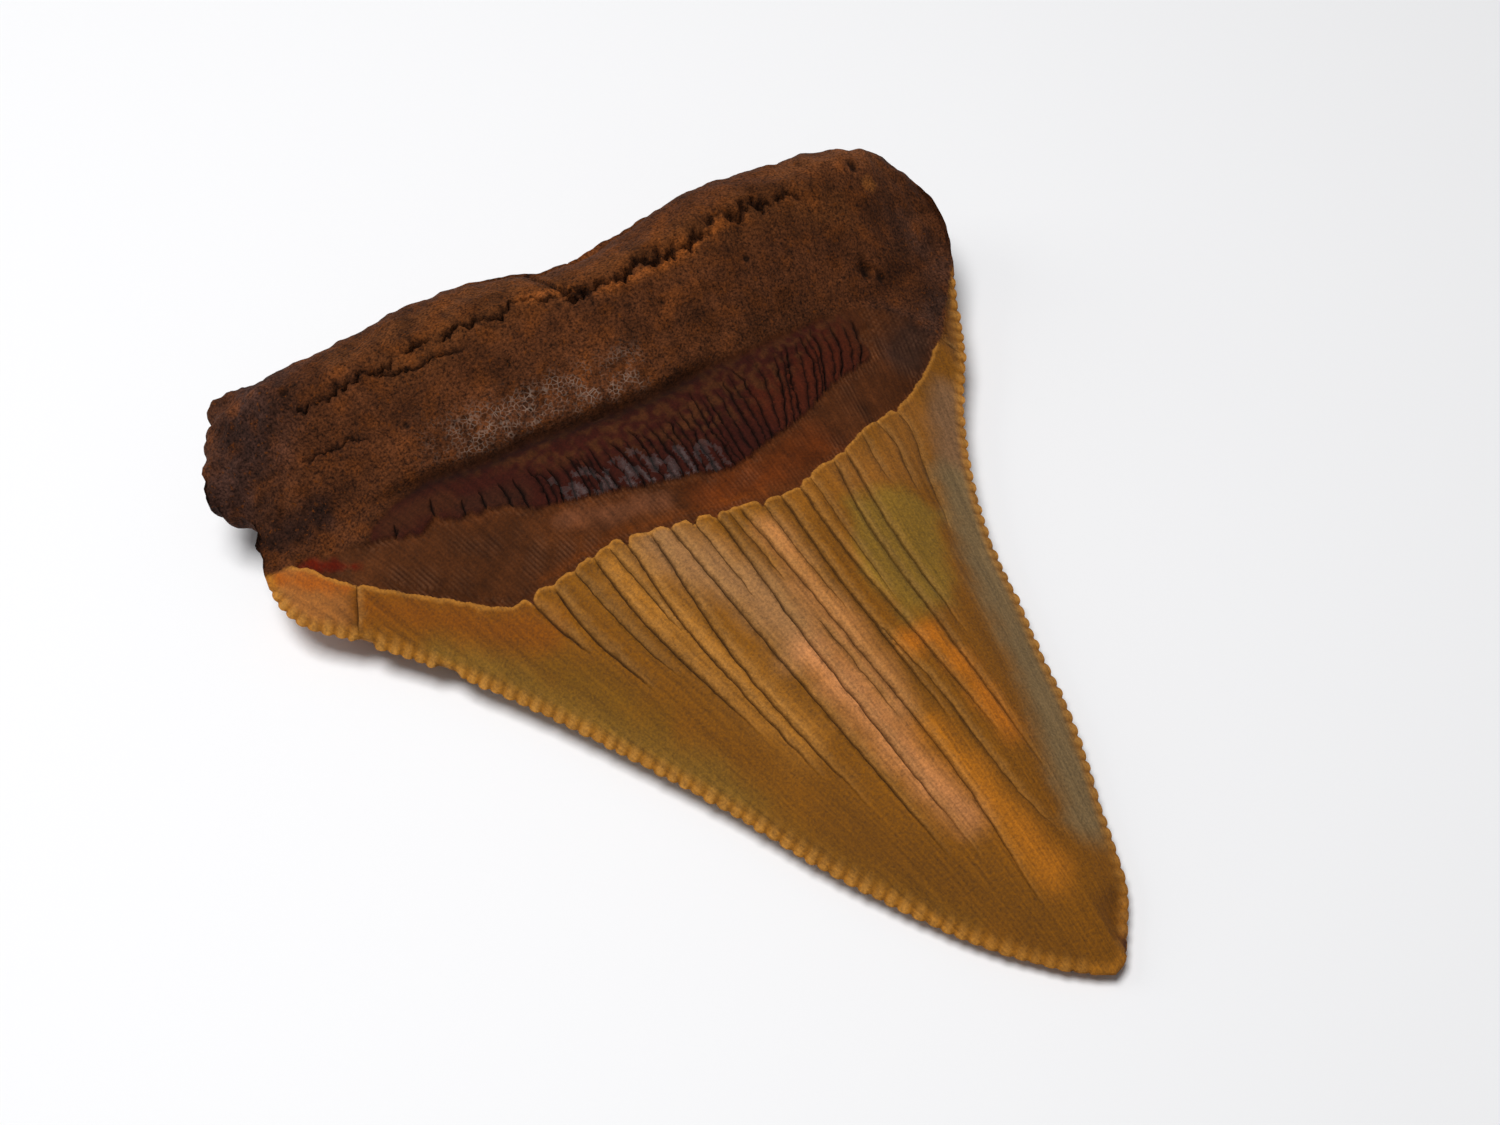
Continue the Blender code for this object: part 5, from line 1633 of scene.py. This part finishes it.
        # Painted glint on the lace's walls
        glint = tuple(srgb_to_linear(Bone.glint)) + (1.0,)
        painted_lace_glint = add_node(tree, "ShaderNodeMix", {"data_type": "RGBA", 7: glint},
                         {0: lace, 6: mixed.outputs[2]})
        return painted_lace_glint.outputs[2]

    def lace(self, tree: bpy.types.NodeTree, space: bpy.types.NodeSocket, share: bpy.types.NodeSocket,
             coarse: bpy.types.NodeSocket) -> bpy.types.NodeSocket:
        """Add a painted glint on the walls of the foamy bone, drawn coarser than the real ones so that they
        show.

        Args:
            tree: The material's node tree.
            space: Where on the tooth a point is.
            share: How lacy the bone is.
            coarse: The noise that breaks the lace up.

        Returns:
            How much of the painted glint shows.
        """
        walls = add_node(tree, "ShaderNodeTexVoronoi",
                         {"feature": "DISTANCE_TO_EDGE", "Scale": 1 / (self.lace_cell * MM)},
                         {"Vector": space})
        thin = add_node(tree, "ShaderNodeMapRange", {"From Min": 0.14, "From Max": 0.02, "To Max": 0.6},
                        {"Value": walls.outputs[0]})
        patchy = add_node(tree, "ShaderNodeMapRange", {"From Min": 0.42, "From Max": 0.62},
                          {"Value": coarse})
        shown = add_node(tree, "ShaderNodeMath", {"operation": "MULTIPLY"},
                         {0: thin.outputs[0], 1: patchy.outputs[0]})
        return add_node(tree, "ShaderNodeMath", {"operation": "MULTIPLY"},
                        {0: shown.outputs[0], 1: share}).outputs[0]

    def bump(self, tree: bpy.types.NodeTree, value: dict, surface: Surface, fine: bpy.types.NodeSocket,
             coarse: bpy.types.NodeSocket, pores: bpy.types.NodeSocket,
             streaks: bpy.types.NodeSocket) -> bpy.types.NodeSocket:
        """Raise the grain that is finer than the mesh.

        Args:
            tree: The material's node tree.
            value: What each mark says at a point.
            surface: The surface, with the height of its grain.
            fine: The enamel's grain.
            coarse: The soft waves.
            pores: The bone's grain.
            streaks: The streaks along the strands.

        Returns:
            The normal.
        """
        enamel = add_node(tree, "ShaderNodeMath", {"operation": "MULTIPLY", 1: surface.bump}, {0: fine})
        bony = add_node(tree, "ShaderNodeMath", {"operation": "MULTIPLY", 1: self.paint.bone.bump},
                        {0: pores})
        bony = add_node(tree, "ShaderNodeMath", {"operation": "MULTIPLY"},
                        {0: bony.outputs[0], 1: value[Mark.BONE]})
        both = add_node(tree, "ShaderNodeMath", {"operation": "ADD"},
                        {0: enamel.outputs[0], 1: bony.outputs[0]})
        drawn = add_node(tree, "ShaderNodeMath", {"operation": "MULTIPLY_ADD", 1: self.streak_bump},
                         {0: streaks, 2: both.outputs[0]})
        soft = add_node(tree, "ShaderNodeMath", {"operation": "MULTIPLY_ADD", 1: self.coarse_bump},
                        {0: coarse, 2: drawn.outputs[0]})
        return add_node(tree, "ShaderNodeBump", {"Strength": 1.0, "Distance": MM},
                        {"Height": soft.outputs[0]}).outputs[0]


@dataclass(frozen=True)
class Softbox:
    """A square soft light that faces the tooth: its place and side in mm, and its power in watts."""

    name: str
    place: tuple[float, float, float]
    width: float
    power: float


@dataclass
class Studio:
    """The pale table, the soft lights and the camera at the photograph's angle."""

    aim: tuple[float, float, float] = (3.84, 4.99, 0.0)
    azimuth: float = -25.0
    elevation: float = 57.0
    distance: float = 120.0
    lens: float = 42.0
    sensor: float = 36.0
    floor_width: float = 4000.0
    floor_colour: str = "#f6f6f7"
    floor_roughness: float = 0.6
    # The table lies just below the tooth, so that the two don't touch
    floor_gap: float = 0.02
    air_colour: str = "#f4f6fa"
    air_strength: float = 0.13
    softboxes: tuple[Softbox, ...] = (
        Softbox("overhead_softbox", (-75.0, 80.0, 430.0), 210.0, 1.8),
        Softbox("left_window", (-420.0, 300.0, 300.0), 300.0, 0.45),
    )

    def build(self) -> None:
        """Make the whole studio."""
        bpy.context.scene.view_settings.view_transform = "Standard"
        self.floor()
        self.camera()
        for softbox in self.softboxes:
            self.light(softbox)
        self.world()

    def camera(self) -> None:
        """Aim the camera as the photograph was taken."""
        azimuth, elevation = math.radians(self.azimuth), math.radians(self.elevation)
        back = Vector((math.sin(azimuth) * math.cos(elevation), -math.cos(azimuth) * math.cos(elevation),
                       math.sin(elevation)))
        bpy.ops.object.camera_add(location=(Vector(self.aim) + back * self.distance) * MM)
        camera = bpy.context.object
        camera.rotation_euler = (-back).to_track_quat("-Z", "Y").to_euler()
        camera.data.lens, camera.data.sensor_width = self.lens, self.sensor
        camera.data.clip_start = 5 * MM
        bpy.context.scene.camera = camera

    def floor(self) -> None:
        """Lay the pale table that the tooth rests on."""
        bpy.ops.mesh.primitive_plane_add(size=self.floor_width * MM,
                                         location=(0.0, 0.0, -self.floor_gap * MM))
        floor = bpy.context.object
        floor.name = "pale_table"
        material = bpy.data.materials.new("white_laminate_table")
        material.use_nodes = True
        shader = material.node_tree.nodes["Principled BSDF"]
        shader.inputs["Base Color"].default_value = (*srgb_to_linear(self.floor_colour), 1.0)
        shader.inputs["Roughness"].default_value = self.floor_roughness
        floor.data.materials.append(material)

    @staticmethod
    def light(softbox: Softbox) -> None:
        """Hang a softbox that faces the tooth."""
        bpy.ops.object.light_add(type="AREA", location=Vector(softbox.place) * MM)
        light = bpy.context.object
        light.name = softbox.name
        light.data.size = softbox.width * MM
        light.data.energy = softbox.power
        light.rotation_euler = (-Vector(softbox.place)).to_track_quat("-Z", "Y").to_euler()

    def world(self) -> None:
        """Fill the room with even white light."""
        world = bpy.data.worlds.new("white_room")
        world.use_nodes = True
        background = world.node_tree.nodes["Background"]
        background.inputs["Color"].default_value = (*srgb_to_linear(self.air_colour), 1.0)
        background.inputs["Strength"].default_value = self.air_strength
        bpy.context.scene.world = world


def main() -> None:
    """Build the tooth and its studio."""
    logging.basicConfig(level=logging.INFO, format="%(message)s")
    tooth = FossilTooth().build()
    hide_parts("tooth")
    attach(tooth, "root")
    log.info("%s: %d triangles", tooth.name, len(tooth.data.polygons))
    Studio().build()


if __name__ == "__main__":
    main()
